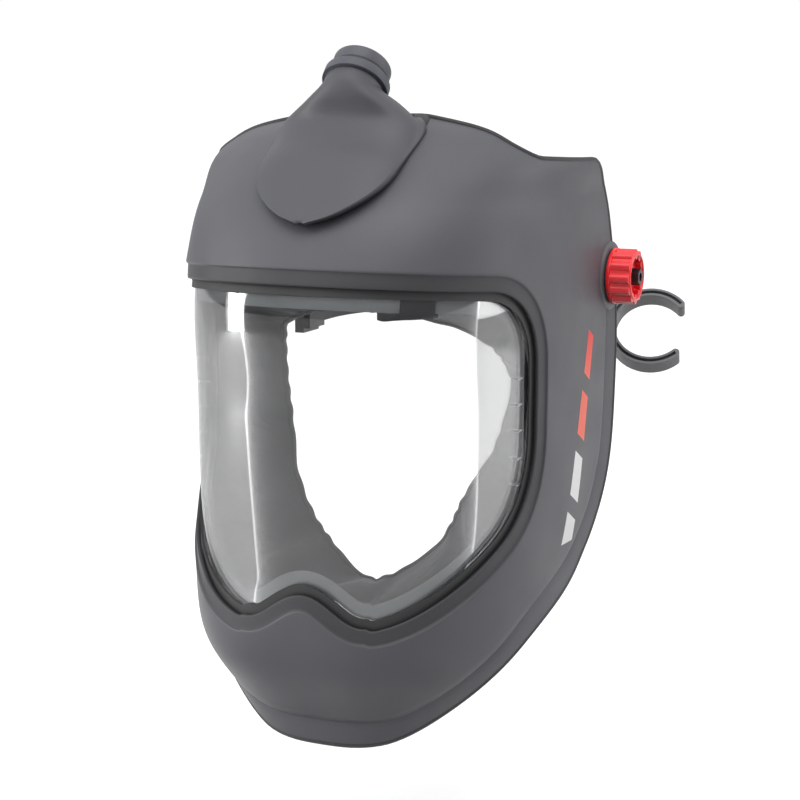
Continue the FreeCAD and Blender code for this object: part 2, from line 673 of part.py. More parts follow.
def make_connector():
    """Hose connector that swivels in the cover's neck, with its seals and its retaining clip."""
    gap, sleeve = size("ring_gap"), size("throat_r - sleeve_gap")
    flange = gap + size("flange_long")
    end = flange + size("spigot_long")
    low = -size("sleeve_long")
    cord = size("cord_r")
    shape = hose_rod(sleeve, low, gap).fuse([hose_rod(size("flange_r"), gap, flange),
                                             hose_rod(size("spigot_r"), flange, end)])
    shape = shape.removeSplitter()
    waist = hose_rod(size("spigot_r") + 1, flange + 1, flange + 3).cut(
        hose_rod(size("spigot_waist_r"), flange + 1, flange + 3))
    seal_at, clip_at = -size("sleeve_long") * 0.45, low + 2
    groove = hose_rod(sleeve + 1, seal_at - cord, seal_at + cord).cut(
        hose_rod(sleeve - cord, seal_at - cord, seal_at + cord))
    clip_groove = hose_rod(sleeve + 1, clip_at - 1.2, clip_at).cut(
        hose_rod(sleeve - cord, clip_at - 1.2, clip_at))
    shape = shape.cut([waist, clip_groove, groove]).cut(hose_rod(size("bore_r"), low - 1, end + 1))
    edges = [edge for edge in shape.Edges if edge.Length > 2 * math.pi * (size("spigot_r") - 0.1)
             and abs((edge.CenterOfMass - HOSE_MOUTH).dot(HOSE_AXIS) - end) < 0.01]
    shape = shape.makeFillet(1.2, edges)
    feature(shape, "hose_connector")
    seal = hose_rod(sleeve, seal_at - cord, seal_at + cord).cut(
        hose_rod(sleeve - cord, seal_at - cord, seal_at + cord))
    feature(seal, "swivel_seal")
    clip = hose_rod(sleeve, clip_at - 1.2, clip_at).cut(hose_rod(sleeve - cord, clip_at - 1.2, clip_at))
    feature(clip, "swivel_clip")
    spigot = hose_rod(size("spigot_r") - 0.1, flange + 1, flange + 3).cut(
        hose_rod(size("spigot_waist_r"), flange + 1, flange + 3))
    feature(spigot, "spigot_seal")


# ---- Pivots and clamp knobs -----------------------------------------------------------------

def make_pivots():
    """Stack of discs, bushes, pads and washers on each pivot, from the head outwards."""
    disc = ring("disc_r", "bolt_r + thread_gap", "hub_face + disc_gap",
                "hub_face + disc_gap + disc_thick", "friction_disc_left")
    mirrored(disc, "friction_disc_right")
    start = "hub_face + 2 * disc_gap + disc_thick"
    bush = turned([(start, "bolt_r + bush_gap"), ("pad_face", "bolt_r + bush_gap"), ("pad_face", "bush_r"),
                   (start + " + bush_flange", "bush_r"), (start + " + bush_flange", "bush_flange_r"),
                   (start, "bush_flange_r")], "pivot_bush_left")
    mirrored(bush, "pivot_bush_right")
    pad = turned([("pad_seat", "bush_r"), ("pad_face", "bush_r"), ("pad_face", "pad_r - pad_round"),
                  ("pad_face - pad_round", "pad_r"), ("pad_seat", "pad_r")], "boss_pad_left")
    mirrored(pad, "boss_pad_right")
    washer = ring("washer_r", "bolt_r + thread_gap", "pad_face + disc_gap",
                  "pad_face + disc_gap + washer_thick", "thrust_washer_left")
    mirrored(washer, "thrust_washer_right")
    shaft = rod("bolt_r", "arm_face - bolt_head", "hex_start")
    head = rod("bolt_head_r", "arm_face - bolt_head", "arm_face")
    tip = primitive("Prism", {"Circumradius": "hex_flat / 0.866", "Height": "hex_end - hex_start"},
                    ("hex_start", "0", "0"), FreeCAD.Rotation(FreeCAD.Vector(0, 1, 0), 90))
    hole = rod("hex_hole_r", "hex_end - hex_hole_deep", "hex_end + 1")
    bolt = cut(group([shaft, head, tip]), hole, "pivot_bolt_left")
    mirrored(bolt, "pivot_bolt_right")


def make_knob():
    """Scalloped clamp knob with a lip at its foot and a dished face."""
    body = doc.addObject("PartDesign::Body", "Knob")
    start = "pad_face + 2 * disc_gap + washer_thick"
    profile = new_sketch(body, "XY_Plane", "KnobProfile")
    polygon(profile, [
        (start, "insert_r"), ("insert_face", "insert_r"), ("insert_face", "hex_flat * 1.3"),
        ("recess_floor", "hex_flat * 1.3"), ("recess_floor", "recess_r"), ("knob_face", "recess_mouth_r"),
        ("knob_face", "knob_r - knob_round"), ("knob_face - knob_round", "knob_r"),
        (start + " + knob_lip", "knob_r"), (start + " + knob_lip", "knob_lip_r"), (start, "knob_lip_r"),
    ])
    turn = body.newObject("PartDesign::Revolution", "KnobTurn")
    turn.Profile = profile
    axis = next(part for part in body.Origin.OriginFeatures if part.Role == "X_Axis")
    turn.ReferenceAxis = (axis, [""])
    turn.Angle = 360
    doc.recompute()
    lobe = new_sketch(body, "YZ_Plane", "Lobe")
    lobe.setExpression(".AttachmentOffset.Base.z", bind(start + " + knob_lip"))
    circle(lobe, "knob_r - lobe_r * 0.45", "0", "lobe_r")
    pad = body.newObject("PartDesign::Pad", "LobePad")
    pad.Profile = lobe
    pad.setExpression("Length", bind("knob_face - knob_round - (" + start + " + knob_lip)"))
    doc.recompute()
    pattern = body.newObject("PartDesign::PolarPattern", "Lobes")
    pattern.Originals = [pad]
    pattern.Axis = (axis, [""])
    pattern.Angle = 360
    pattern.setExpression("Occurrences", bind("lobe_count"))
    body.Tip = pattern
    doc.recompute()
    keep(body, "knob_left")
    mirrored(body, "knob_right")
    insert = ring("insert_r", "bolt_r + thread_gap", start, "insert_face", "knob_insert_left")
    mirrored(insert, "knob_insert_right")


# ---- Head harness ---------------------------------------------------------------------------

def half_hoop(inner, outer, centre, low, high, ahead):
    """Half of an upright hoop about Z: ahead of its centre or behind it."""
    at = ("0", centre)
    hoop = cut(rod(outer, low, high, at, "z"), rod(inner, low, high, at, "z"))
    span = (f"{centre} - 200", centre) if ahead else (centre, f"{centre} + 200")
    return common(hoop, box(("-200", span[0], low), ("200", span[1], high)))


def tails(inner, outer, low, high, start, end):
    """Two straight strap ends, one on each side of the head."""
    return [box((inner, start, low), (outer, end, high)),
            box((f"-({outer})", start, low), (f"-({inner})", end, high))]


def make_harness():
    inner, outer = "head_half", "head_half + strap_thick"
    hoop = half_hoop(inner, outer, "band_centre", "band_low", "band_high", True)
    band = group([hoop] + tails(inner, outer, "band_low", "band_high", "band_centre", "tail_end"))
    place = ("band_centre + 6", "(band_low + band_high) / 2")
    rivets = group([rod("rivet_r", "head_half - 1", "arm_face + 2", place),
                    rod("rivet_r", "-(arm_face + 2)", "-(head_half - 1)", place)])
    cut(band, rivets, "front_band")
    keep(rivets, "band_rivets")
    sweat_out = "head_half - sweat_gap"
    pad = half_hoop(sweat_out + " - sweat_thick", sweat_out, "band_centre", "band_low", "band_high", True)
    common(pad, box(("-200", "-200", "band_low"), ("200", "sweat_back", "band_high")), "sweatband")


def make_arms():
    """Side arms that carry the pivots, with a guide for the rear strap."""
    body = doc.addObject("PartDesign::Body", "SideArm")
    side = new_sketch(body, "YZ_Plane", "ArmSide")
    side.setExpression(".AttachmentOffset.Base.z", bind("arm_face"))
    polygon(side, [("arm_front", "band_low - 2"), ("arm_front + 12", "arm_low + 14"),
                   ("guide_front", "arm_low"), ("guide_back", "arm_low"), ("arm_back", "arm_low + 30"),
                   ("arm_back - 6", "arm_top - 16"), ("12", "arm_top"), ("-12", "arm_top"),
                   ("arm_front", "band_high + 1")])
    plate = body.newObject("PartDesign::Pad", "ArmPlate")
    plate.Profile = side
    plate.setExpression("Length", bind("arm_plate"))
    doc.recompute()
    hub = new_sketch(body, "YZ_Plane", "HubCircle")
    hub.setExpression(".AttachmentOffset.Base.z", bind("arm_face"))
    circle(hub, "0", "0", "hub_r")
    hub_pad = body.newObject("PartDesign::Pad", "Hub")
    hub_pad.Profile = hub
    hub_pad.setExpression("Length", bind("hub_face - arm_face"))
    doc.recompute()
    hole = new_sketch(body, "YZ_Plane", "BoltHole")
    hole.setExpression(".AttachmentOffset.Base.z", bind("arm_face - 1"))
    circle(hole, "0", "0", "bolt_r")
    pocket = body.newObject("PartDesign::Pocket", "BoltBore")
    pocket.Profile = hole
    pocket.Type = 1
    pocket.Reversed = True
    body.Tip = pocket
    doc.recompute()
    holes = group([rod("rivet_r", "arm_face - 1", "arm_face + 2",
                       ("band_centre + 6", "(band_low + band_high) / 2")),
                   rod("rivet_r", "arm_face - 1", "arm_face + 3", ("0", "rivet_level"))])
    arm = cut(body, holes, "side_arm_left")
    mirrored(arm, "side_arm_right")
    low, high = "cradle_low - guide_gap", "cradle_high + guide_gap"
    inside = "head_half - guide_gap - guide_wall"
    block = box((inside, "guide_front", low + " - guide_wall"),
                ("arm_face", "guide_back", high + " + guide_wall"))
    slot = box(("head_half - guide_gap", "guide_front - 1", low), ("arm_face + 1", "guide_back + 1", high))
    guide = cut(block, slot, "strap_guide_left")
    mirrored(guide, "strap_guide_right")


def make_crown():
    """Two halves of the strap over the head, lapped and pinned at the top."""
    thick = "strap_thick"
    centre = ("0", "crown_centre")

    def hoop(outer, inner, low_x, high_x, label=None):
        whole = cut(rod(outer, "-strap_half", "strap_half", centre, "y"),
                    rod(inner, "-strap_half", "strap_half", centre, "y"))
        return common(whole, box((low_x, "-strap_half", "crown_foot"), (high_x, "strap_half", "200")), label)

    left = hoop("crown_r", "crown_r - " + thick, "-lap_half", "200")
    right = hoop("crown_r - " + thick, "crown_r - 2 * " + thick, "-200", "lap_half")
    foot, top = "crown_centre + crown_r - 2 * strap_thick - sweat_gap", "crown_centre + crown_r + stud_head"
    studs = group([rod("stud_r", foot, top, (side + "stud_gap", "0"), "z") for side in ("", "-")])
    rivets = group([rod("rivet_r", "head_half - 2.4", "arm_face + 3", ("0", "rivet_level")),
                    rod("rivet_r", "-(arm_face + 3)", "-(head_half - 4.4)", ("0", "rivet_level"))])
    pins = group([studs, rivets])
    cut(left, pins, "crown_strap_left")
    cut(right, pins, "crown_strap_right")
    keep(studs, "crown_studs")
    keep(rivets, "strap_rivets")
    outer = "crown_r - 2 * strap_thick - sweat_gap"
    whole = cut(rod(outer, "-crown_pad_wide", "crown_pad_wide", centre, "y"),
                rod(outer + " - crown_pad_thick", "-crown_pad_wide", "crown_pad_wide", centre, "y"))
    common(whole, box(("-crown_pad_half", "-crown_pad_wide", "0"),
                      ("crown_pad_half", "crown_pad_wide", "200")), "crown_pad")


# ---- Rear cradle ----------------------------------------------------------------------------

def make_cradle():
    inner, outer = "head_half", "head_half + strap_thick - guide_gap"
    low, high = "cradle_low", "cradle_high"
    hoop = half_hoop(inner, outer, "cradle_centre", low, high, False)
    band = group([hoop] + tails(inner, outer, low, high, "cradle_front", "cradle_centre"))
    back = "cradle_centre + head_half + strap_thick - guide_gap"
    rear = back + " + housing_deep"
    places = [(side + "post_x", "ratchet_level") for side in ("", "-")]
    heads = [rod("post_head_r", rear, rear + " + 1.6", place, "y") for place in places]
    shanks = [rod("post_r", back + " - 4", rear, place, "y") for place in places]
    pins = group(shanks + heads)
    spindle = rod("pinion_shaft_r + shaft_gap", back + " - 6", back + " + 40", ("0", "ratchet_level"), "y")
    relief = rod("pinion_r + 1", back + " - 6", back + " + pinion_long + 1", ("0", "ratchet_level"), "y")
    cut(cut(band, pins), relief, "rear_band")
    span = ("ratchet_level - 10 - housing_over", "ratchet_level + 10 + housing_over")
    outside = box(("-housing_half", back + " - 6", span[0]),
                  ("housing_half", back + " + housing_deep - cover_plate", span[1]))
    wrap = rod(outer, span[0] + " - 1", span[1] + " + 1", ("0", "cradle_centre"), "z")
    hollow = box(("-housing_half + 10", back + " - 6", span[0] + " + housing_wall"),
                 ("housing_half - 10", rear + " - cover_plate + 1", span[1] + " - housing_wall"))
    cut(cut(outside, group([wrap, hollow])), pins, "ratchet_housing")
    plate = box(("-housing_half", back + " + housing_deep - cover_plate", span[0]),
                ("housing_half", back + " + housing_deep", span[1]))
    cut(cut(plate, spindle), pins, "ratchet_cover")
    keep(pins, "housing_screws")
    pinion = group([rod("pinion_r", back + " + 1.5", back + " + pinion_long", ("0", "ratchet_level"), "y"),
                    rod("pinion_shaft_r", back + " + pinion_long", back + " + housing_deep + dial_gap + 6",
                        ("0", "ratchet_level"), "y")])
    keep(pinion, "ratchet_pinion")
    make_dial(back + " + housing_deep + dial_gap")
    pad_out = "head_half - nape_gap"
    pad = half_hoop(pad_out + " - nape_thick", pad_out, "cradle_centre", low + " - nape_over",
                    high + " + nape_over", False)
    common(pad, box(("-200", "nape_front", low + " - nape_over"),
                    ("200", "200", high + " + nape_over")), "nape_pad")


def make_dial(start):
    """Ratchet dial with finger grips, and the cap pressed into its face."""
    at = ("0", "ratchet_level")
    disc = rod("dial_r", start, start + " + dial_long", at, "y")
    grips = []
    for step in range(int(size("dial_grips"))):
        angle = f"{step} * 360 / dial_grips * 1 deg"
        across = f"(dial_r + dial_grip_r * 0.35) * cos({angle})"
        up = f"ratchet_level + (dial_r + dial_grip_r * 0.35) * sin({angle})"
        grips.append(rod("dial_grip_r", start + " + 2", start + " + dial_long + 1", (across, up), "y"))
    hole = rod("pinion_shaft_r", start + " - 1", start + " + 6", at, "y")
    seat = rod("cap_r", start + " + dial_long - cap_deep", start + " + dial_long + 1", at, "y")
    cut(disc, group(grips + [hole, seat]), "ratchet_dial")
    cap = rod("cap_r", start + " + dial_long - cap_deep", start + " + dial_long", at, "y")
    keep(cap, "dial_cap")


def make_hose_clip():
    """Open C that holds the breathing hose, on a stalk from the rear band."""
    thick, bore = size("clip_thick"), size("clip_bore_r")
    outer = bore + size("clip_wall")
    flat = FreeCAD.Vector(0, 0, -thick / 2)
    ring_shape = Part.makeCylinder(outer, thick, flat).cut(Part.makeCylinder(bore, thick, flat))
    opening = math.radians(size("clip_open"))
    reach = outer * 2
    middle = math.radians(size("clip_turn"))
    corners = [FreeCAD.Vector(0, 0, -thick)]
    for share in (-0.5, 0, 0.5):
        angle = middle + opening * share
        corners.append(FreeCAD.Vector(reach * math.cos(angle), reach * math.sin(angle), -thick))
    wedge = Part.Face(Part.makePolygon(corners + [corners[0]])).extrude(FreeCAD.Vector(0, 0, 2 * thick))
    ring_shape = ring_shape.cut(wedge)
    mid_r = bore + size("clip_wall") / 2
    for share in (-0.5, 0.5):
        angle = middle + opening * share
        at = FreeCAD.Vector(mid_r * math.cos(angle), mid_r * math.sin(angle), -thick / 2)
        ring_shape = ring_shape.fuse(Part.makeCylinder(size("clip_wall") / 2, thick, at))
    groove_in = mid_r - size("clip_groove") / 2
    top = FreeCAD.Vector(0, 0, thick / 2 - size("clip_groove_deep"))
    groove = Part.makeCylinder(groove_in + size("clip_groove"), thick, top).cut(
        Part.makeCylinder(groove_in, thick, top)).cut(wedge)
    ring_shape = ring_shape.cut(groove).removeSplitter()
    turn = FreeCAD.Rotation(FreeCAD.Vector(1, 0, 0), size("clip_lean")).multiply(
        FreeCAD.Rotation(FreeCAD.Vector(0, 1, 0), size("clip_swing")))
    centre = FreeCAD.Vector(size("clip_x"), size("clip_y"), size("clip_level"))
    ring_shape.Placement = FreeCAD.Placement(centre, turn)
    band_r = size("head_half + strap_thick - guide_gap")
    angle = math.atan2(size("clip_y - cradle_centre"), size("clip_x"))
    foot = FreeCAD.Vector(band_r * math.cos(angle), size("cradle_centre") + band_r * math.sin(angle),
                          size("ratchet_level"))
    root = foot - FreeCAD.Vector(math.cos(angle), math.sin(angle), 0) * 0.5
    plane = turn.multVec(FreeCAD.Vector(0, 0, 1))
    towards = root - centre
    target = centre + (towards - plane * towards.dot(plane)).normalize() * mid_r
    stalk = Part.makeCylinder(size("clip_base_r"), (target - root).Length, root, target - root)
    bore_tool = Part.makeCylinder(bore + 1, 4 * outer, FreeCAD.Vector(0, 0, -2 * outer))
    bore_tool.Placement = FreeCAD.Placement(centre, turn)
    inside = Part.makeCylinder(band_r, 200, FreeCAD.Vector(0, size("cradle_centre"), -100))
    flange = Part.makeCylinder(size("clip_base_r") + 4, 6, root, foot - root).cut(inside)
    clip = ring_shape.fuse([stalk.cut(bore_tool).cut(inside), flange]).removeSplitter()
    feature(biggest(clip), "hose_clip")


make_shell()
make_rim_trim()
make_face_seal(make_visor())
make_duct()
make_inner_duct()
make_connector()
make_pivots()
make_knob()
make_harness()
make_arms()
make_crown()
make_cradle()
make_hose_clip()
doc.recompute()

for item in doc.Objects:
    if "Invalid" in item.State or "Error" in item.State:
        raise RuntimeError(f"{item.Name} ({item.Label}) did not build: {item.State}")
os.makedirs("parts", exist_ok=True)
for item in parts:
    if item.Shape.isNull() or not item.Shape.isValid() or not item.Shape.Solids:
        raise RuntimeError(f"{item.Label} has no sound shape")
    item.Shape.exportStep(f"parts/{item.Label}.step")
print(f"{len(parts)} pieces written")
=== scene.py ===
# %% [markdown]
# # A powered air respirator headtop
#
# This lesson dresses a respirator's hard shell, its clear visor, its fabric face seal and its head
# harness. The mechanical pieces come in as a fixed frame from CAD. Large moulded skins, cloth and
# padding are built again here, because a flowing skin looks best as one clean net of quads.

# %% Load the frame
import json
import math

import bmesh
import bpy
import numpy as np
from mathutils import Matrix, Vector, noise


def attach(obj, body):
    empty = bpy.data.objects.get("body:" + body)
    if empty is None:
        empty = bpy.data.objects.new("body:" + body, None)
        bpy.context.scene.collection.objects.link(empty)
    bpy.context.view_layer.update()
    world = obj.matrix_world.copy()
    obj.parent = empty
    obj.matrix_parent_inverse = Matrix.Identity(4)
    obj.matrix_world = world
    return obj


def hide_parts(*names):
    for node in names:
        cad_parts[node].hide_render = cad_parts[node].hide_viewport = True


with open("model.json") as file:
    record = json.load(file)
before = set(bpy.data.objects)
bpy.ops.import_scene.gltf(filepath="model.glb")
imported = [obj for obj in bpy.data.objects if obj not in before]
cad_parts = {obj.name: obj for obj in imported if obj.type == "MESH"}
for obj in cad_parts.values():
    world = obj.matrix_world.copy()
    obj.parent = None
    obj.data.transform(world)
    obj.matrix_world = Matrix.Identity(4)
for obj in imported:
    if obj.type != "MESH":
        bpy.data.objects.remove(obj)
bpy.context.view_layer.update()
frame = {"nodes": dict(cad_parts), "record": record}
nodes = frame["nodes"]
MM = 0.001
print("nodes in the frame:", len(nodes))

# %% [markdown]
# ## Small helpers for shaders
#
# Every finish is procedural. A node group holds an effect that several materials share, and puts out
# only a value or a normal, so that each material keeps its own plain numbers for colour and gloss.


# %% Shader helpers
def node(tree, kind, **settings):
    made = tree.nodes.new(kind)
    for name, value in settings.items():
        setattr(made, name, value)
    return made


def link(tree, source, target):
    tree.links.new(source, target)


def plain(name, colour, roughness, metallic=0.0, **extra):
    """A principled material with uniform numbers on its sockets."""
    made = bpy.data.materials.new(name)
    made.use_nodes = True
    shader = made.node_tree.nodes["Principled BSDF"]
    shader.inputs["Base Color"].default_value = (*colour, 1)
    shader.inputs["Roughness"].default_value = roughness
    shader.inputs["Metallic"].default_value = metallic
    for socket, value in extra.items():
        shader.inputs[socket.replace("_", " ")].default_value = value
    return made


def new_group(name, inputs, outputs):
    group = bpy.data.node_groups.new(name, "ShaderNodeTree")
    for label, kind, value in inputs:
        socket = group.interface.new_socket(label, in_out="INPUT", socket_type=kind)
        socket.default_value = value
    for label, kind in outputs:
        group.interface.new_socket(label, in_out="OUTPUT", socket_type=kind)
    return group, node(group, "NodeGroupInput"), node(group, "NodeGroupOutput")


def mapped(tree, source, low, high, to_low, to_high):
    """A value moved from one range to another, held at the ends."""
    ramp = node(tree, "ShaderNodeMapRange")
    for name, value in zip(("From Min", "From Max", "To Min", "To Max"), (low, high, to_low, to_high)):
        ramp.inputs[name].default_value = value
    link(tree, source, ramp.inputs["Value"])
    return ramp.outputs["Result"]


def maths(tree, operation, first, second):
    made = node(tree, "ShaderNodeMath", operation=operation)
    for slot, value in zip(made.inputs, (first, second)):
        if isinstance(value, (int, float)):
            slot.default_value = value
        else:
            link(tree, value, slot)
    return made.outputs[0]


# %% [markdown]
# ## The grain of a moulding
#
# A textured mould leaves a fine pebble in the plastic, with a slower waviness under it and
# slight differences of gloss where hands have been. One group makes the pebble and the gloss differences from
# noise in object space.

# %% Grain group
grain, grain_in, grain_out = new_group(
    "grain", [("Fineness", "NodeSocketFloat", 1800.0), ("Depth", "NodeSocketFloat", 0.15)],
    [("Normal", "NodeSocketVector"), ("Patches", "NodeSocketFloat")])
where = node(grain, "ShaderNodeTexCoord")
pebble = node(grain, "ShaderNodeTexNoise")
pebble.inputs["Detail"].default_value = 3
link(grain, where.outputs["Object"], pebble.inputs["Vector"])
link(grain, grain_in.outputs["Fineness"], pebble.inputs["Scale"])
patches = node(grain, "ShaderNodeTexNoise")
patches.inputs["Scale"].default_value = 28
patches.inputs["Detail"].default_value = 4
link(grain, where.outputs["Object"], patches.inputs["Vector"])
bump = node(grain, "ShaderNodeBump")
bump.inputs["Distance"].default_value = 0.0003
link(grain, pebble.outputs["Fac"], bump.inputs["Height"])
link(grain, grain_in.outputs["Depth"], bump.inputs["Strength"])
link(grain, bump.outputs["Normal"], grain_out.inputs["Normal"])
link(grain, patches.outputs["Fac"], grain_out.inputs["Patches"])


def grained(material, fineness, depth, rough_low, rough_high):
    """Adds the grain group to a material: its normal, and a roughness that wanders."""
    tree = material.node_tree
    shader = tree.nodes["Principled BSDF"]
    effect = node(tree, "ShaderNodeGroup", node_tree=grain)
    effect.inputs["Fineness"].default_value = fineness
    effect.inputs["Depth"].default_value = depth
    link(tree, effect.outputs["Normal"], shader.inputs["Normal"])
    link(tree, mapped(tree, effect.outputs["Patches"], 0.3, 0.7, rough_low, rough_high),
         shader.inputs["Roughness"])
    return material


# %% [markdown]
# ## Finishes
#
# The shell is a matt, slightly violet dark grey. The knobs are glossy red, the connector is a darker
# textured grey, and rubber and fabric stay dull. Values are kept a little lighter than they seem,
# since a soft white room brightens the edges and not the faces.

# %% Plain finishes
paints = {
    "boss_plastic": grained(plain("boss_plastic", (0.075, 0.077, 0.085), 0.5), 1500, 0.2, 0.42, 0.55),
    "black_plastic": grained(plain("black_plastic", (0.02, 0.021, 0.024), 0.5), 1600, 0.2, 0.4, 0.55),
    "clip_plastic": grained(plain("clip_plastic", (0.11, 0.112, 0.118), 0.5), 1500, 0.2, 0.42, 0.56),
    "connector_plastic": grained(plain("connector_plastic", (0.055, 0.058, 0.072), 0.5),
                                 1100, 0.5, 0.42, 0.58),
    "rubber": grained(plain("rubber", (0.012, 0.012, 0.013), 0.6), 1300, 0.15, 0.5, 0.65),
    "foam": grained(plain("foam", (0.03, 0.03, 0.033), 0.95), 700, 1.0, 0.9, 1.0),
    "pad_fabric": grained(plain("pad_fabric", (0.035, 0.036, 0.04), 0.9), 900, 0.8, 0.8, 0.95),
    "red_plastic": grained(plain("red_plastic", (0.86, 0.002, 0.010), 0.35, Coat_Weight=0.15),
                           900, 0.06, 0.28, 0.38),
    "steel": grained(plain("steel", (0.55, 0.55, 0.56), 0.3, 1.0), 1400, 0.05, 0.22, 0.36),
    "bolt_black": grained(plain("bolt_black", (0.025, 0.025, 0.028), 0.4, 0.6), 1200, 0.1, 0.3, 0.45),
    "brass": grained(plain("brass", (0.6, 0.42, 0.16), 0.3, 1.0), 1200, 0.05, 0.25, 0.4),
    "nylon": grained(plain("nylon", (0.62, 0.61, 0.56), 0.45), 1000, 0.1, 0.4, 0.5),
}
print("plain finishes:", len(paints))

# %% [markdown]
# ## The shell's finish
#
# The shell carries a generic side graphic: three slanted bars below each knob, red at the top,
# fading to coral, then white. A mask from the point's height and distance ahead draws them, so no
# picture is needed, and the bars follow the moulding.

# %% Shell finish
BAR_TOP, BAR_LOW = -0.024, -0.142
BAR_LEAN, BAR_AHEAD, BAR_LOW_HALF, BAR_TOP_HALF = 0.27, 0.0275, 0.0075, 0.0045
BAR_SLANT, BARS_PER_METRE, BAR_SHARE = 0.6, 26.0, 0.72
SHELL_GREY = (0.060, 0.061, 0.071)
shell_paint = grained(plain("shell_plastic", SHELL_GREY, 0.5), 2200, 0.35, 0.46, 0.56)
tree = shell_paint.node_tree
place_node = node(tree, "ShaderNodeTexCoord")
split = node(tree, "ShaderNodeSeparateXYZ")
link(tree, place_node.outputs["Object"], split.inputs["Vector"])
across, ahead, level = split.outputs
run = maths(tree, "SUBTRACT", ahead, maths(tree, "MULTIPLY", level, BAR_LEAN))
centre_gap = maths(tree, "ABSOLUTE", maths(tree, "ADD", run, BAR_AHEAD), 0)
width = mapped(tree, level, BAR_LOW, BAR_TOP, BAR_LOW_HALF, BAR_TOP_HALF)
inside = maths(tree, "LESS_THAN", centre_gap, width)
slant = maths(tree, "ADD", level, maths(tree, "MULTIPLY", ahead, BAR_SLANT))
phase = maths(tree, "FRACT", maths(tree, "MULTIPLY", slant, BARS_PER_METRE), 0)
bars = maths(tree, "LESS_THAN", phase, BAR_SHARE)
span = maths(tree, "MULTIPLY", maths(tree, "LESS_THAN", level, BAR_TOP),
             maths(tree, "GREATER_THAN", level, BAR_LOW))
normal_parts = node(tree, "ShaderNodeSeparateXYZ")
link(tree, place_node.outputs["Normal"], normal_parts.inputs["Vector"])
side = maths(tree, "GREATER_THAN", maths(tree, "MULTIPLY", across, normal_parts.outputs["X"]), 0.03)
mask = maths(tree, "MULTIPLY", maths(tree, "MULTIPLY", inside, bars), maths(tree, "MULTIPLY", span, side))
fade = node(tree, "ShaderNodeValToRGB")
fade.color_ramp.elements[0].color = (0.8, 0.8, 0.8, 1)
fade.color_ramp.elements[1].color = (0.72, 0.01, 0.012, 1)
for position, colour in ((0.44, (0.8, 0.8, 0.8, 1)), (0.46, (0.85, 0.16, 0.1, 1)),
                         (0.8, (0.85, 0.13, 0.09, 1))):
    fade.color_ramp.elements.new(position).color = colour
link(tree, mapped(tree, level, BAR_LOW, BAR_TOP, 0, 1), fade.inputs["Fac"])
tone = node(tree, "ShaderNodeMix", data_type="RGBA")
link(tree, mask, tone.inputs["Factor"])
tone.inputs["A"].default_value = (*SHELL_GREY, 1)
link(tree, fade.outputs["Color"], tone.inputs["B"])
link(tree, tone.outputs["Result"], tree.nodes["Principled BSDF"].inputs["Base Color"])
paints["shell_plastic"] = shell_paint
paints["cover_plastic"] = grained(plain("cover_plastic", (0.050, 0.051, 0.059), 0.5), 2200, 0.35, 0.46, 0.56)
# The recessed band round the visor takes a darker grey of the same plastic: painted shade for the shade that
# falls in the step.
paints["recess_painted_shade"] = grained(plain("recess_painted_shade", (0.022, 0.022, 0.026), 0.55), 2200, 0.35, 0.5, 0.6)

# %% [markdown]
# ## Clear lens and smoky margin
#
# Polycarbonate this thin bends light too little to see, so the lens mixes a faintly tinted
# transparent shader with a mirror-like coat by the Fresnel law. The margin is a translucent frame.


# %% Lens finishes
def see_through(name, tint, gloss, extra, floor):
    made = bpy.data.materials.new(name)
    made.use_nodes = True
    inner = made.node_tree
    inner.nodes.clear()
    clear = node(inner, "ShaderNodeBsdfTransparent")
    clear.inputs["Color"].default_value = (*tint, 1)
    shine = node(inner, "ShaderNodeBsdfGlossy")
    shine.inputs["Roughness"].default_value = gloss
    angle = node(inner, "ShaderNodeFresnel")
    angle.inputs["IOR"].default_value = 1.5
    mix = node(inner, "ShaderNodeMixShader")
    amount = maths(inner, "ADD", maths(inner, "MULTIPLY", angle.outputs[0], extra), floor)
    link(inner, amount, mix.inputs[0])
    link(inner, clear.outputs[0], mix.inputs[1])
    link(inner, shine.outputs[0], mix.inputs[2])
    link(inner, mix.outputs[0], node(inner, "ShaderNodeOutputMaterial").inputs["Surface"])
    return made


paints["clear_lens"] = see_through("clear_lens", (0.965, 0.97, 0.972), 0.03, 0.8, 0.0)
paints["frame_plastic"] = plain("frame_plastic", (0.42, 0.44, 0.46), 0.28, Alpha=0.5)
paints["tick"] = plain("tick", (0.75, 0.77, 0.78), 0.3)

# %% [markdown]
# ## Coated seal fabric
#
# The seal is a light woven cloth with a thin coating: a soft sheen, a fine weave and slow creases.

# %% Seal fabric
seal_paint = plain("seal_fabric", (0.034, 0.035, 0.039), 0.6, Sheen_Weight=0.15, Sheen_Roughness=0.5)
tree = seal_paint.node_tree
spot = node(tree, "ShaderNodeTexCoord")
weave = node(tree, "ShaderNodeTexWave", wave_type="BANDS", bands_direction="DIAGONAL")
weave.inputs["Scale"].default_value = 900
weave.inputs["Distortion"].default_value = 0.6
crease = node(tree, "ShaderNodeTexNoise")
crease.inputs["Scale"].default_value = 45
crease.inputs["Detail"].default_value = 6
crease.inputs["Distortion"].default_value = 1.2
for texture in (weave, crease):
    link(tree, spot.outputs["Object"], texture.inputs["Vector"])
height = maths(tree, "ADD", maths(tree, "MULTIPLY", weave.outputs["Fac"], 0.05), crease.outputs["Fac"])
relief = node(tree, "ShaderNodeBump")
relief.inputs["Strength"].default_value = 0.55
relief.inputs["Distance"].default_value = 0.003
link(tree, height, relief.inputs["Height"])
link(tree, relief.outputs["Normal"], tree.nodes["Principled BSDF"].inputs["Normal"])
paints["seal_fabric"] = seal_paint

# %% [markdown]
# ## The law of the shell's surface
#
# The shell is a squared tube seen from above: a full front, straight sides, and a half width and
# depth that change with height. A point on it needs two numbers, how far round and how high. Every
# skin in this lesson, from the lens to the rim, is placed by this law, so they nest without gaps.

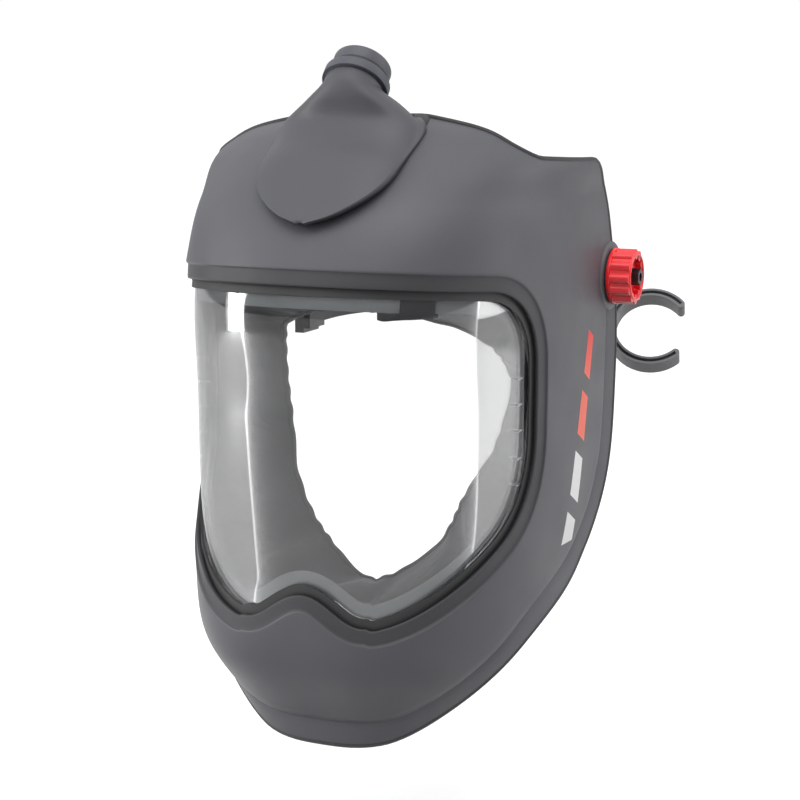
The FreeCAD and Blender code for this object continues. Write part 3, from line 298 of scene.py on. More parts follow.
# %% Surface law
LEVELS = np.array([-260, -226, -195, -150, -60, 17, 48, 76, 86, 92]) * MM
HALVES = np.array([51, 80, 98.5, 106, 108, 107, 106, 100, 84, 60]) * MM
DEPTHS = np.array([154, 165, 183, 185.5, 190, 187, 166, 132, 117, 104]) * MM
SIDE_START, SIDE_RUN, POWER = -0.020, 0.225, 2 / 2.8


def smooth_curve(z, xs, ys):
    """Cubic through (xs, ys) with finite-difference slopes."""
    slopes = np.gradient(ys, xs)
    i = np.clip(np.searchsorted(xs, z) - 1, 0, len(xs) - 2)
    step = xs[i + 1] - xs[i]
    t = np.clip((z - xs[i]) / step, 0, 1)
    return ((2 * t**3 - 3 * t**2 + 1) * ys[i] + (t**3 - 2 * t**2 + t) * step * slopes[i]
            + (3 * t**2 - 2 * t**3) * ys[i + 1] + (t**3 - t**2) * step * slopes[i + 1])


def surface(turn, z, inset=0.0):
    """Points on the skin: turn is 0 at the front, 1 where a straight side starts."""
    turn, z = np.asarray(turn, float), np.asarray(z, float)
    half = smooth_curve(z, LEVELS, HALVES) - inset
    depth = smooth_curve(z, LEVELS, DEPTHS) - inset
    angle = np.minimum(np.abs(turn), 1) * math.pi / 2
    x = np.sign(turn) * half * np.sin(angle) ** POWER
    front = SIDE_START - (depth + SIDE_START) * np.maximum(np.cos(angle), 0) ** POWER
    y = np.where(np.abs(turn) > 1, SIDE_START + (np.abs(turn) - 1) * SIDE_RUN, front)
    return np.stack([x, y, z + 0 * x], -1)


def turn_at(y, z):
    """How far round the skin the point at this depth and height is, on the left side."""
    depth = smooth_curve(np.asarray(z, float), LEVELS, DEPTHS)
    share = np.clip((SIDE_START - y) / (depth + SIDE_START), 0, 1)
    front = np.arccos(share ** (1 / POWER)) / (math.pi / 2)
    return np.where(y > SIDE_START, 1 + (y - SIDE_START) / SIDE_RUN, front)


def front_depth(x, z, inset=0.0):
    """Distance ahead of the skin's front at this width and height, continued above the crest."""
    z_in = np.minimum(z, LEVELS[-1] - 0.012)
    half = smooth_curve(z_in, LEVELS, HALVES) - inset
    depth = smooth_curve(z_in, LEVELS, DEPTHS) - inset
    share = np.clip(np.abs(x) / half, 0, 0.999)
    cosine = np.cos(np.arcsin(share ** (1 / POWER))) ** POWER
    return SIDE_START - (depth + SIDE_START) * cosine + (z - z_in) * 1.15


print("half width at eye level:", round(float(surface(1, -0.06)[0]), 4))

# %% [markdown]
# ## Outlines on the skin
#
# Two loops bound the shell: the visor opening and the rim. Each is drawn in side view, wrapped onto
# the skin, mirrored, and cut into equal steps, so that the loops can be bridged ring by ring.

# %% Outline tools
HALF_STEPS = 150


def fillet(before, corner, after, radius, steps=16):
    """Arc that rounds a corner of a side view."""
    corner = np.array(corner, float)
    a, b = np.array(before, float) - corner, np.array(after, float) - corner
    a, b = a / np.linalg.norm(a), b / np.linalg.norm(b)
    middle = (a + b) / np.linalg.norm(a + b)
    half_angle = math.acos(np.clip(a @ b, -1, 1)) / 2
    centre = corner + middle * radius / math.sin(half_angle)
    start = corner + a * radius / math.tan(half_angle) - centre
    end = corner + b * radius / math.tan(half_angle) - centre
    swing = math.acos(np.clip(start @ end / radius**2, -1, 1))
    parts = np.linspace(0, 1, steps)
    return [centre + (math.sin((1 - p) * swing) * start + math.sin(p * swing) * end) / math.sin(swing)
            for p in parts]


def along_front(line, turns):
    """Points of a side-view line z(y) where it crosses the front, by how far round they are."""
    found = []
    for turn in turns:
        z = line(-0.18)
        for _ in range(8):
            z = line(float(surface(turn, z)[1]))
        found.append((turn, z))
    return found


def even_loop(points):
    """Mirrors a left-hand outline and cuts the closed loop into equal steps."""
    flat = np.array(points, float)
    flat = flat[np.r_[True, np.abs(np.diff(flat, axis=0)).sum(1) > 1e-9]]
    solid = surface(flat[:, 0], flat[:, 1])
    length = np.r_[0, np.cumsum(np.linalg.norm(np.diff(solid, axis=0), axis=1))]
    steps = np.linspace(0, length[-1], HALF_STEPS + 1)
    left = np.stack([np.interp(steps, length, flat[:, 0]), np.interp(steps, length, flat[:, 1])], -1)
    right = left[-2:0:-1] * [-1, 1]
    return np.vstack([left, right])


reach = np.linspace(-1, 1, 801)
TURNS = 2 * np.sign(reach) * np.abs(reach) ** 1.5
ARCS = np.r_[0, np.cumsum(np.linalg.norm(np.diff(surface(TURNS, -0.06), axis=0), axis=1))]
ARCS -= ARCS[-1] / 2


def unrolled(loop):
    """The loop as lengths round the skin and heights."""
    return np.stack([np.interp(loop[:, 0], TURNS, ARCS), loop[:, 1]], -1)


def rolled(flat):
    """Lengths round the skin and heights as a loop again."""
    return np.stack([np.interp(flat[:, 0], ARCS, TURNS), flat[:, 1]], -1)


def between(near, far, share):
    """The loop that lies a share of the way from one loop to another."""
    return rolled((1 - share) * unrolled(near) + share * unrolled(far))


def moved(loop, distance, soften=0):
    """The loop moved across the skin, outwards from its middle, by a distance."""
    flat = unrolled(loop)
    tangent = np.roll(flat, -1, 0) - np.roll(flat, 1, 0)
    normal = np.stack([-tangent[:, 1], tangent[:, 0]], -1)
    normal /= np.linalg.norm(normal, axis=1)[:, None]
    for _ in range(soften):
        normal = (np.roll(normal, 1, 0) + normal + np.roll(normal, -1, 0)) / 3
    return rolled(flat + normal * distance)


# %% The visor opening's outline
VISOR_BACK, FAR = -0.104, -0.227
TOP_LEVEL, TOP_RISE, LOW_LEVEL, LOW_FALL = 0.0015, 0.0105, -0.108, -0.098
BUMP_HALF, BUMP_TOP, BUMP_FOOT = 0.038, -0.154, -0.171


def top_line(y):
    return TOP_LEVEL + TOP_RISE * (VISOR_BACK - y) / (VISOR_BACK - FAR)


def low_line(y):
    return LOW_LEVEL + LOW_FALL * (VISOR_BACK - y) / (VISOR_BACK - FAR)


upper_arc = fillet((FAR, top_line(FAR)), (VISOR_BACK, TOP_LEVEL), (VISOR_BACK, LOW_LEVEL), 0.040)
lower_arc = fillet((VISOR_BACK, TOP_LEVEL), (VISOR_BACK, LOW_LEVEL), (FAR, low_line(FAR)), 0.075)
sides = [(float(turn_at(y, z)), z) for y, z in upper_arc + lower_arc]
top = along_front(top_line, np.linspace(0, sides[0][0], 40))
bottom = []
for turn, z in along_front(low_line, np.linspace(sides[-1][0], 0, 60)):
    x = float(surface(turn, z)[0])
    rise = BUMP_FOOT + (BUMP_TOP - BUMP_FOOT) * (1 + math.cos(math.pi * min(x / BUMP_HALF, 1))) / 2
    gap = z - rise
    bottom.append((turn, (z + rise + math.hypot(gap, 0.004)) / 2 if x < BUMP_HALF else max(z, rise)))
visor_loop = even_loop(top[:-1] + sides + bottom[1:])
if moved(visor_loop, 0.01)[0, 1] < visor_loop[0, 1]:
    visor_loop = visor_loop[::-1]
print("visor outline points:", len(visor_loop))

# %% The rim's outline
DOME_BACK, CREST = -0.098, 0.0918
RIM_STOPS = np.array([(-9, 50), (5, 8), (7, -50), (-5, -111), (-47, -159), (-104, -190), (-152, -244)]) * MM
run_length = np.r_[0, np.cumsum(np.linalg.norm(np.diff(RIM_STOPS, axis=0), axis=1))]
fine = np.linspace(0, run_length[-1], 140)
sweep = np.stack([smooth_curve(fine, run_length, RIM_STOPS[:, k]) for k in range(2)], -1)
CHIN_FLOOR, CHIN_ROUND = -0.2465, 0.012


def rounded_foot(z):
    """Height of the rim, eased onto the chin's lowest level."""
    return (z + CHIN_FLOOR + np.hypot(z - CHIN_FLOOR, CHIN_ROUND)) / 2


sweep[:, 1] = rounded_foot(sweep[:, 1])
ear = [np.array([-84, 69.5]) * MM, np.array([-28, 67]) * MM]
ear_arc = fillet(ear[0], (ear[1] + [0.004, 0]), sweep[0], 0.012)
notch_arc = fillet((DOME_BACK, CREST), (DOME_BACK, 0.0705), ear[1], 0.011)
crest = [(turn, CREST) for turn in np.linspace(0, float(turn_at(DOME_BACK, CREST)), 12)]
side_view = [(DOME_BACK, z) for z in np.linspace(CREST, 0.083, 8)] + [tuple(p) for p in notch_arc]
side_view += [tuple(p) for p in ear_arc] + [tuple(p) for p in sweep]
slope = (RIM_STOPS[-1][1] - RIM_STOPS[-2][1]) / (RIM_STOPS[-1][0] - RIM_STOPS[-2][0])


def chin_line(y):
    return rounded_foot(RIM_STOPS[-1][1] + slope * 0.75 * (y - RIM_STOPS[-1][0]))


flat_side = [(float(turn_at(y, z)), z) for y, z in side_view]
chin = along_front(chin_line, np.linspace(flat_side[-1][0], 0, 30))
rim_loop = even_loop(crest[:-1] + flat_side + chin[1:])
if moved(rim_loop, 0.01)[HALF_STEPS, 1] > rim_loop[HALF_STEPS, 1]:
    rim_loop = rim_loop[::-1]
rim_loop = np.roll(rim_loop, -int(np.argmax(rim_loop[:, 1] - np.abs(rim_loop[:, 0]))), 0)
visor_loop = np.roll(visor_loop, -int(np.argmin(np.abs(visor_loop[:, 0]) - visor_loop[:, 1])), 0)
print("rim outline points:", len(rim_loop), "lowest:", round(float(rim_loop[:, 1].min()), 4))

# %% [markdown]
# ## From rings to a mesh
#
# A skin is made the way a modeller would bridge edge loops: rows of vertices, one row for each ring,
# joined by quads. One helper makes every such skin, closed round or filled to a point.


# %% Mesh helpers
def finished(name, body, paint, mesh_data, smooth=True):
    obj = bpy.data.objects.new(name, mesh_data)
    bpy.context.scene.collection.objects.link(obj)
    mesh_data.materials.clear()
    mesh_data.materials.append(paints[paint])
    if smooth:
        mesh_data.shade_smooth()
    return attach(obj, body)


def ring_mesh(name, rings, pole=None):
    """Mesh of closed rings of points, bridged in order, with an optional fan to a pole."""
    work = bmesh.new()
    rows = [[work.verts.new(p) for p in ring] for ring in rings]
    for near, far in zip(rows, rows[1:]):
        for k in range(len(near)):
            n = (k + 1) % len(near)
            work.faces.new((near[k], near[n], far[n], far[k]))
    if pole is not None:
        tip = work.verts.new(pole)
        last = rows[-1]
        for k in range(len(last)):
            work.faces.new((last[k], last[(k + 1) % len(last)], tip))
    bmesh.ops.recalc_face_normals(work, faces=work.faces)
    made = bpy.data.meshes.new(name)
    work.to_mesh(made)
    work.free()
    return made


def welded(mesh_data, reach, turned_out=False):
    """Joins vertices that lie together, and can turn every face outwards."""
    work = bmesh.new()
    work.from_mesh(mesh_data)
    bmesh.ops.remove_doubles(work, verts=work.verts, dist=reach)
    if turned_out:
        bmesh.ops.recalc_face_normals(work, faces=work.faces)
    work.to_mesh(mesh_data)
    work.free()


def modifier(obj, kind, **settings):
    made = obj.modifiers.new(kind.title(), kind)
    for name, value in settings.items():
        setattr(made, name, value)
    return made


def applied(obj):
    """Replaces the object's mesh with the mesh its modifiers make."""
    bpy.context.view_layer.update()
    graph = bpy.context.evaluated_depsgraph_get()
    new_mesh = bpy.data.meshes.new_from_object(obj.evaluated_get(graph))
    obj.modifiers.clear()
    obj.data = new_mesh
    return obj


# %% [markdown]
# ## The outer shell
#
# Round the visor runs a bevelled band that steps below the skin. Near the rim a crease runs round the
# jaw and chin, and outside it the skin flares out. Both are changes of inset along the rings, with
# rings set close where the shape turns sharply. The wall is added afterwards as thickness.

# %% Outer shell
BAND, BAND_DEPTH, WALL = 0.0078, 0.0018, 0.0023
CREASE, FLARE = 0.0135, 0.0022


def eased(value, low, high):
    t = np.clip((value - low) / (high - low), 0, 1)
    return t * t * (3 - 2 * t)


def rim_weight(z):
    """How much of the flare a point gets: all of it low down, none at the ears."""
    return 1 - eased(z, -0.05, 0.03)


rings = []
for distance, inset in ((0, 2.0), (0.0012, 1.75), (0.004, 1.55), (BAND - 0.0006, 1.3), (BAND, 0.95),
                        (BAND + 0.0005, 0.3), (BAND + 0.0011, 0.05), (BAND + 0.002, 0), (0.0125, 0)):
    rings.append(surface(*moved(visor_loop, distance, 3).T, inset * MM))
near, far = moved(visor_loop, 0.0125, 3), moved(rim_loop, -0.019, 30)
for share in np.linspace(0, 1, 26)[1:]:
    rings.append(surface(*between(near, far, share).T, 0))
edge_weight = rim_weight(rim_loop[:, 1])
for distance, inset in ((0.0165, 0.1), (0.0148, 0.9), (CREASE + 0.0004, 2.0), (CREASE - 0.0004, 2.0),
                        (0.0120, 1.4), (0.0095, 0.6), (0.006, -0.1), (0.003, -0.6), (0.001, -0.9), (0, -1.0)):
    loop = moved(rim_loop, -distance, int(6 + distance * 1400))
    rings.append(surface(*loop.T, inset * MM * edge_weight))
shell_mesh = ring_mesh("outer_shell_skin", rings)
shell = finished("outer_shell_skin", "shell", "shell_plastic", shell_mesh)
# The first rows, the recessed band round the visor, get the darker grey: painted shade.
shell.data.materials.append(paints["recess_painted_shade"])
RECESS_ROWS = 5
for face in shell_mesh.polygons[:RECESS_ROWS * len(visor_loop)]:
    face.material_index = 1
modifier(shell, "SOLIDIFY", thickness=WALL, offset=-1)
applied(shell)
PIVOT_HOLE = 0.0112
bpy.ops.mesh.primitive_cylinder_add(vertices=48, radius=PIVOT_HOLE, depth=0.26, rotation=(0, math.pi / 2, 0))
cutter = bpy.context.object
modifier(shell, "BOOLEAN", operation="DIFFERENCE", object=cutter, solver="EXACT")
applied(shell)
bpy.data.objects.remove(cutter)
shell.data.shade_smooth()
modifier(shell, "WEIGHTED_NORMAL", keep_sharp=True)
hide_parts("outer_shell")
print("shell faces:", len(shell.data.polygons))

# %% [markdown]
# ## Rim trim
#
# A slim rubber bead covers the moulding's raw edge. It is a tube swept round the rim.


# %% Rim trim
def tube(name, path, radius, sides=10):
    """A closed tube round a path of points."""
    path = np.asarray(path)
    tangent = np.roll(path, -1, 0) - np.roll(path, 1, 0)
    tangent /= np.linalg.norm(tangent, axis=1)[:, None]
    aside = np.cross(tangent, path - path.mean(0))
    aside /= np.linalg.norm(aside, axis=1)[:, None]
    upward = np.cross(aside, tangent)
    rows = [path + radius * (math.cos(a) * aside + math.sin(a) * upward)
            for a in np.linspace(0, 2 * math.pi, sides, endpoint=False)]
    return ring_mesh(name, rows + rows[:1])


rim_path = surface(*rim_loop.T, -1.0 * MM * edge_weight + WALL / 2 * (1 + 0 * edge_weight))
trim = finished("rim_trim_bead", "shell", "rubber", tube("rim_trim_bead", rim_path, 0.0017))
welded(trim.data, 1e-6)
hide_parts("rim_trim")

# %% [markdown]
# ## Gasket, frame and lens
#
# Behind the opening a black gasket holds the lens, and a smoky frame presses it from inside, so a
# grey margin shows through the clear edge. Gasket and frame are rings, and the lens is a filled skin.


# %% Visor pieces
def band_ring(name, outer, inner, outside, inside, paint, replaced):
    """A closed ring between two distances from the opening's edge and two insets."""
    a, b = moved(visor_loop, outer, 3), moved(visor_loop, inner, 3)
    mid = between(a, b, 0.5)
    loops = [surface(*a.T, outside), surface(*mid.T, outside), surface(*b.T, outside),
             surface(*b.T, inside), surface(*mid.T, inside), surface(*a.T, inside)]
    made = finished(name, "shell", paint, ring_mesh(name, loops + loops[:1]))
    welded(made.data, 1e-6, turned_out=True)
    made.data.set_sharp_from_angle(angle=math.radians(40))
    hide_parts(replaced)
    return made


band_ring("visor_gasket_ring", 0.003, -0.0048, 0.0043, 0.0056, "rubber", "visor_gasket")
band_ring("lens_frame_ring", 0.001, -0.0118, 0.0077, 0.0092, "frame_plastic", "lens_frame")
LENS_CENTRE = np.array([[0.0, -0.075]])
edge = moved(visor_loop, 0.001, 3)
loops = [surface(*between(edge, LENS_CENTRE, s).T, 0.006) for s in np.linspace(0, 0.96, 34)]
lens = finished("visor_lens_skin", "shell", "clear_lens",
                ring_mesh("visor_lens_skin", loops, surface(*LENS_CENTRE[0], 0.006)))
modifier(lens, "SOLIDIFY", thickness=0.0014, offset=-1)
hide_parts("visor_lens")

# %% Alignment ticks on the frame
TICK_LEVELS = [-0.044, -0.058, -0.072, -0.087, -0.101]
TICK_BACK, TICK_INSET, TICK_SIZE = -0.1145, 0.0069, (0.0006, 0.0062, 0.0008)
work = bmesh.new()
for z in TICK_LEVELS:
    for outline in (1, -1):
        turn = outline * float(turn_at(TICK_BACK, z))
        spot_at = Vector(surface(turn, z, TICK_INSET))
        cube = bmesh.ops.create_cube(work, size=1)
        bmesh.ops.scale(work, vec=TICK_SIZE, verts=cube["verts"])
        bmesh.ops.translate(work, vec=spot_at, verts=cube["verts"])
tick_mesh = bpy.data.meshes.new("lens_ticks")
work.to_mesh(tick_mesh)
work.free()
finished("lens_ticks", "shell", "tick", tick_mesh, smooth=False)

# %% [markdown]
# ## The face seal
#
# A soft skirt runs from the lens frame back to an elastic hem that grips the face. Cloth that is cut
# wider than its hem gathers, so folds start at the frame, deepen, and crowd together at the elastic.

# %% Face seal
HEM = np.array([(0, -108, -12), (26, -105, -14), (50, -91, -21), (66, -69, -36), (70.5, -60, -57),
                (66, -64, -85), (52, -80, -118), (34, -84, -148), (14, -88, -165), (0, -90, -170)]) * MM
hem_length = np.r_[0, np.cumsum(np.linalg.norm(np.diff(HEM, axis=0), axis=1))]
hem_steps = np.linspace(0, hem_length[-1], HALF_STEPS + 1)
left_hem = np.stack([smooth_curve(hem_steps, hem_length, HEM[:, k]) for k in range(3)], -1)
left_hem[[0, -1], 0] = 0
hem_loop = np.vstack([left_hem, left_hem[-2:0:-1] * [-1, 1, 1]])
start_loop = surface(*moved(visor_loop, -0.004, 3).T, 0.0098)
if start_loop[HALF_STEPS // 2, 0] < 0:
    hem_loop[:, 0] *= -1
SEAL_ROWS = 34
count = len(hem_loop)
angle = np.arange(count) / count * 2 * math.pi
wander = np.array([noise.noise(Vector((2 * math.cos(a), 2 * math.sin(a), 3))) for a in angle])
outward = start_loop - np.array([0, -0.09, -0.075])
outward[:, 1] *= 0.25
outward /= np.linalg.norm(outward, axis=1)[:, None]
low_part = eased(-start_loop[:, 2], 0.06, 0.17)
rows = []
for s in np.linspace(0, 1, SEAL_ROWS):
    swell = math.sin(math.pi * s ** 0.8)
    deep = (0.0016 + 0.0030 * low_part) * math.sin(math.pi * s ** 1.2)
    fold = (np.sin(13 * angle + 5 * wander + 1.5 * s) * deep
            + np.sin(31 * angle + 14 * wander) * 0.0005 * s ** 2 + wander * 0.003 * s)
    line = (1 - s) * start_loop + s * hem_loop
    line = line + outward * ((0.004 + 0.003 * low_part) * swell + fold)[:, None]
    line[:, 1] = np.maximum(line[:, 1], front_depth(line[:, 0], line[:, 2], 0.0098))
    rows.append(line)
seal_mesh = ring_mesh("face_seal_cloth", rows)
seal = finished("face_seal_cloth", "shell", "seal_fabric", seal_mesh)
modifier(seal, "SOLIDIFY", thickness=0.0005, offset=0)
applied(seal)
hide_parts("face_seal")
hem = finished("seal_hem_elastic", "shell", "seal_fabric", tube("seal_hem_elastic", rows[-1], 0.0016, 8))
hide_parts("seal_hem")

# %% [markdown]
# ## Softened copies
#
# Some pieces keep their CAD shape and only need soft moulded edges or a foam body. A merged copy is
# remeshed into even quads and smoothed, which rounds every edge the way a mould or a cover does.


# %% Softened copies
def merged_copy(name, source, body, paint):
    mesh_data = nodes[source].data.copy()
    welded(mesh_data, 1e-5)
    made = finished(name, body, paint, mesh_data)
    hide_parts(source)
    return made


def softened(name, source, body, paint, voxel, passes):
    made = merged_copy(name, source, body, paint)
    modifier(made, "REMESH", mode="VOXEL", voxel_size=voxel, use_smooth_shade=True)
    modifier(made, "SMOOTH", factor=0.5, iterations=passes)
    return applied(made)


# %% [markdown]
# ## The duct cover
#
# The cover is a shield that sits on the forehead and flows up into the hose neck. It is built as
# arches: each row runs from one edge over a crest to the other, and the rows change from the
# shield's shallow arch to the neck's half circle. A turned-down border closes it onto the shell.

# %% Duct cover
MOUTH = np.array([0, -0.115, 0.107])
LEAN = math.radians(46)
NECK_OUT = np.array([0, -math.sin(LEAN), math.cos(LEAN)])
HOSE_AXIS = np.array([0, math.cos(LEAN), math.sin(LEAN)])
NECK_R, COVER_RISE = 0.0155, 0.0085
COVER_S = np.array([0, 0.08, 0.2, 0.38, 0.55, 0.68, 0.8, 0.9, 1.0])
COVER_W = np.array([1.5, 12, 24, 36, 39.5, 40, 27, 18, 15.5]) * MM
COVER_LOW = np.array([40, 43, 49, 60, 74, 87, 98, 103.5, 107]) * MM
COVER_CREST = np.array([40.5, 46, 54, 67, 81, 92.5, 104, 112, 117.8]) * MM
COVER_BULGE = np.array([0, 0.3, 1.6, 5.5, 9.5, 12.5, 14, 13, 11]) * MM
COVER_SWELL = np.array([0, 0, 0, 0, 0, 2, 9, 7, 0]) * MM


def cover_row(s, arch):
    """One arch of the cover's front, from its left edge over the crest to its right edge."""
    width, low, crest, bulge, swell = (
        float(smooth_curve(np.array(s), COVER_S, values))
        for values in (COVER_W, COVER_LOW, COVER_CREST, COVER_BULGE, COVER_SWELL))
    x, c = width * np.sin(arch), np.cos(arch)
    z = low + (crest - low) * c
    y = front_depth(x, z) - COVER_RISE - bulge * eased(c, 0, 1)
    share = eased(s, 0.45, 1)
    neck_y = (MOUTH + NECK_OUT * NECK_R * c[:, None])[:, 1] - swell * eased(c, 0, 1) / max(share, 0.1)
    return np.stack([x, (1 - share) * y + share * neck_y, z], -1)


ARCH_STEPS, COVER_ROWS, SHOULDER = 60, 46, 33
REAR_FOOT_Y, REAR_FOOT_BOW, REAR_FOOT_LEVEL = -0.1, 0.022, 0.0905
arches = np.linspace(-math.pi / 2, math.pi / 2, ARCH_STEPS + 1)
front_rows = [cover_row(s, arches) for s in np.linspace(0, 1, COVER_ROWS)]
rear_arch = np.linspace(math.pi / 2, -math.pi / 2, ARCH_STEPS + 1)
rear_mouth = (MOUTH + NECK_R * np.stack([np.sin(rear_arch), 0 * rear_arch, 0 * rear_arch], -1)
              - NECK_OUT * NECK_R * np.cos(rear_arch)[:, None])
work = bmesh.new()
grid = [[work.verts.new(p) for p in row] for row in front_rows]
for low_row, high_row in zip(grid, grid[1:]):
    for k in range(ARCH_STEPS):
        work.faces.new((low_row[k], low_row[k + 1], high_row[k + 1], high_row[k]))
left_side = [row[0] for row in grid[:SHOULDER + 1]]
right_side = [row[-1] for row in grid[:SHOULDER + 1]]
border = left_side[::-1] + grid[0][1:-1] + right_side
TIP_HALF, FOOT_TOP = 0.004, 0.065


def turned_down(vertex, grow, drop):
    """A border vertex moved out by grow and back by drop."""
    out = math.copysign(grow, vertex.co.x) if abs(vertex.co.x) > TIP_HALF else 0
    return work.verts.new(vertex.co + Vector((out, drop, -grow * 0.7 * (vertex.co.z < FOOT_TOP))))


turned = [[turned_down(v, grow, drop) for v in border]
          for grow, drop in ((0.0011, 0.0016), (0.0014, COVER_RISE - 0.0012))]
for upper, lower in zip([border] + turned, turned):
    for k in range(len(border) - 1):
        work.faces.new((upper[k], upper[k + 1], lower[k + 1], lower[k]))
rear = [work.verts.new(p) for p in rear_mouth[1:-1]]
rear = [grid[-1][-1]] + rear + [grid[-1][0]]
foot_rows = [(row[-1], row[0]) for row in reversed(grid[SHOULDER:])]
last = rear
for step, (right_vert, left_vert) in enumerate(foot_rows[1:], 1):
    share = eased(step / (len(foot_rows) - 1), 0, 1)
    row = [right_vert]
    for m in range(1, ARCH_STEPS):
        angle_round = rear_arch[m]
        foot_y = REAR_FOOT_Y - REAR_FOOT_BOW * (1 - math.cos(angle_round)) ** 2
        point = Vector(rear_mouth[m]).lerp(Vector((0, foot_y, REAR_FOOT_LEVEL)), share)
        point.x = right_vert.co.x * math.sin(angle_round)
        row.append(work.verts.new(point))
    row.append(left_vert)
    for m in range(ARCH_STEPS):
        work.faces.new((last[m], last[m + 1], row[m + 1], row[m]))
    last = row
bmesh.ops.recalc_face_normals(work, faces=work.faces)
cover_mesh = bpy.data.meshes.new("duct_cover_skin")
work.to_mesh(cover_mesh)
work.free()
cover = finished("duct_cover_skin", "shell", "cover_plastic", cover_mesh)
modifier(cover, "SOLIDIFY", thickness=0.0018, offset=-1)
modifier(cover, "SMOOTH", factor=0.4, iterations=2)
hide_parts("duct_cover")

round_mouth = np.linspace(0, 2 * math.pi, 72, endpoint=False)[:, None]
spokes = np.sin(round_mouth) * [1, 0, 0] + np.cos(round_mouth) * NECK_OUT
COLLAR = ((-1.6, -6), (-1.6, 0.1), (0.6, 0.1), (0.9, -1.2), (0.5, -6))
collar_rings = [MOUTH + HOSE_AXIS * up * MM + spokes * (NECK_R + out * MM) for out, up in COLLAR]
collar = finished("cover_neck_collar", "shell", "cover_plastic",
                  ring_mesh("cover_neck_collar", collar_rings + collar_rings[:1]))
collar.data.set_sharp_from_angle(angle=math.radians(40))
print("cover rows:", len(front_rows))

# %% [markdown]
# ## Padding
#
# The sweatband, crown pad and nape pad are foam in a knitted cover. Remeshing and smoothing gives the
# plump edge, and a slow noise along the normals keeps the cover from looking machined.


# %% Padding
def pad(name, source, body, voxel=0.0012):
    made = softened(name, source, body, "pad_fabric", voxel, 14)
    work = bmesh.new()
    work.from_mesh(made.data)
    work.normal_update()
    for vertex in work.verts:
        vertex.co += vertex.normal * 0.00035 * noise.noise(vertex.co * 90)
    work.to_mesh(made.data)
    work.free()
    made.data.shade_smooth()
    return made


pad("sweatband_pad", "sweatband", "headgear")
pad("crown_pad_foam", "crown_pad", "headgear")
pad("nape_pad_foam", "nape_pad", "cradle")

# %% [markdown]
# ## Bevelled copies
#
# A small bevel catches the light on every real edge. The knobs, clip, connector and housing get one.


# %% Bevelled copies
def bevelled(name, source, body, paint, width):
    made = merged_copy(name, source, body, paint)
    made.data.set_sharp_from_angle(angle=math.radians(32))
    modifier(made, "BEVEL", width=width, segments=2, limit_method="ANGLE", angle_limit=math.radians(32),
             harden_normals=False)
    return made


for hand in ("left", "right"):
    body = "knob_" + hand[0]
    bevelled(f"knob_{hand}_grip", f"knob_{hand}", body, "red_plastic", 0.0003)
    bevelled(f"boss_pad_{hand}_disc", f"boss_pad_{hand}", "shell", "boss_plastic", 0.0008)
bevelled("hose_clip_c", "hose_clip", "cradle", "clip_plastic", 0.0006)
bevelled("hose_connector_body", "hose_connector", "connector", "connector_plastic", 0.0003)
bevelled("ratchet_housing_case", "ratchet_housing", "cradle", "black_plastic", 0.0006)

# %% [markdown]
# ## Finishes for the rest of the frame
#
# The remaining nodes keep their CAD meshes. The record's slot for each says which finish it takes.

# %% Finishes on CAD nodes
SAME = {"black_rubber": "rubber"}
slots = {part["node"]: part["material_slot"] for part in frame["record"]["subparts"]}
for name, obj in nodes.items():
    paint = SAME.get(slots[name], slots[name])
    obj.data.materials.clear()
    obj.data.materials.append(paints[paint])
print("nodes with a finish:", len(slots))

# %% [markdown]
# ## Floor, light and camera
#
# A plain pale sweep and three soft boxes stand in for a small product studio. The box on the right
# of the wearer puts the long highlight down the lens, and the top box opens up the forehead.

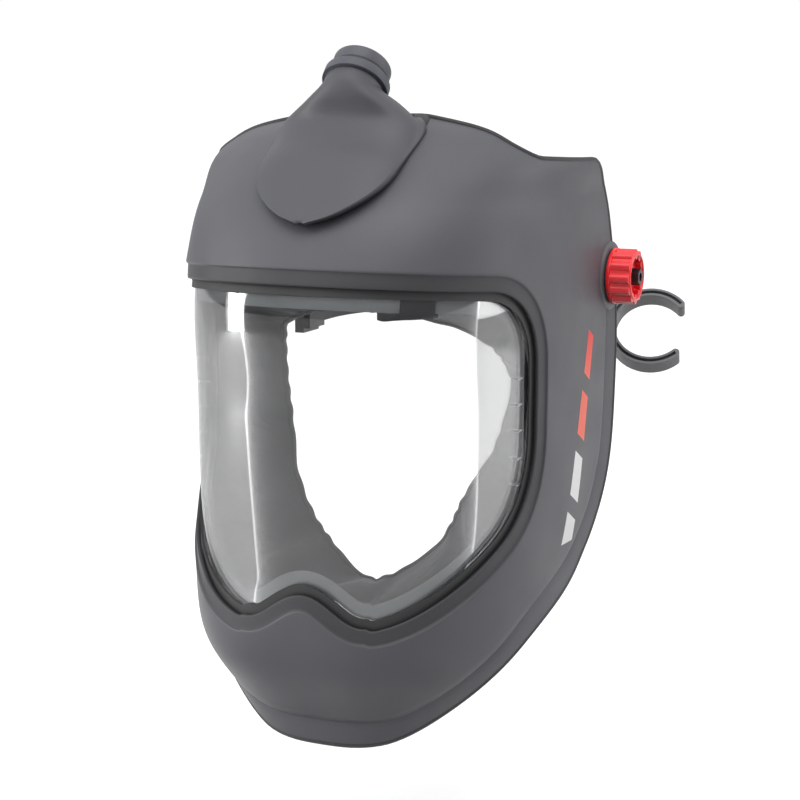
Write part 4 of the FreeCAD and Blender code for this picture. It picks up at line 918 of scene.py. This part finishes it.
# %% Stage
floor_mesh = bpy.data.meshes.new("floor")
work = bmesh.new()
bmesh.ops.create_grid(work, x_segments=2, y_segments=2, size=30)
work.to_mesh(floor_mesh)
work.free()
floor = bpy.data.objects.new("floor", floor_mesh)
floor.location = (0, 0, -0.30)
bpy.context.scene.collection.objects.link(floor)
pale = plain("floor", (0.9, 0.9, 0.9), 0.8, Emission_Color=(1, 1, 1, 1), Emission_Strength=0.16)
floor_mesh.materials.append(grained(pale, 60, 0.05, 0.75, 0.85))

world = bpy.data.worlds.new("studio")
bpy.context.scene.world = world
world.use_nodes = True
sky = world.node_tree
sky.nodes["Background"].inputs["Color"].default_value = (1, 1, 1, 1)
view_way = node(sky, "ShaderNodeTexCoord")
way_parts = node(sky, "ShaderNodeSeparateXYZ")
link(sky, view_way.outputs["Generated"], way_parts.inputs["Vector"])
dome = mapped(sky, way_parts.outputs["Z"], -0.14, 0.42, 0.05, 1.08)
seen = node(sky, "ShaderNodeLightPath").outputs["Is Camera Ray"]
link(sky, maths(sky, "MAXIMUM", dome, seen), sky.nodes["Background"].inputs["Strength"])
floor.visible_diffuse = False
bpy.context.scene.view_settings.view_transform = "Standard"


def soft_box(name, place_at, target, size, power):
    data = bpy.data.lights.new(name, "AREA")
    data.shape = "RECTANGLE"
    data.size, data.size_y = size
    data.energy = power
    lamp = bpy.data.objects.new(name, data)
    lamp.location = place_at
    lamp.rotation_euler = (Vector(target) - Vector(place_at)).to_track_quat("-Z", "Y").to_euler()
    bpy.context.scene.collection.objects.link(lamp)
    return lamp


soft_box("box_side", (-1.3, -0.9, 0.3), (0, -0.1, -0.08), (0.5, 1.4), 16)
soft_box("box_top", (0.2, -0.7, 1.5), (0, -0.1, 0), (1.6, 1.2), 16)
soft_box("box_back", (1.4, 0.6, 0.5), (0, 0, 0), (0.8, 1.4), 9)

# %% Camera
AZIMUTH, ELEVATION, DISTANCE = math.radians(23.8), math.radians(10), 1.104
TARGET = Vector((0, -0.055, -0.071))
camera_data = bpy.data.cameras.new("camera")
camera_data.sensor_width, camera_data.lens = 36, 86.4
camera = bpy.data.objects.new("camera", camera_data)
toward = Vector((math.sin(AZIMUTH) * math.cos(ELEVATION), -math.cos(AZIMUTH) * math.cos(ELEVATION),
                 math.sin(ELEVATION)))
camera.location = TARGET + toward * DISTANCE
camera.rotation_euler = (-toward).to_track_quat("-Z", "Y").to_euler()
bpy.context.scene.collection.objects.link(camera)
bpy.context.scene.camera = camera
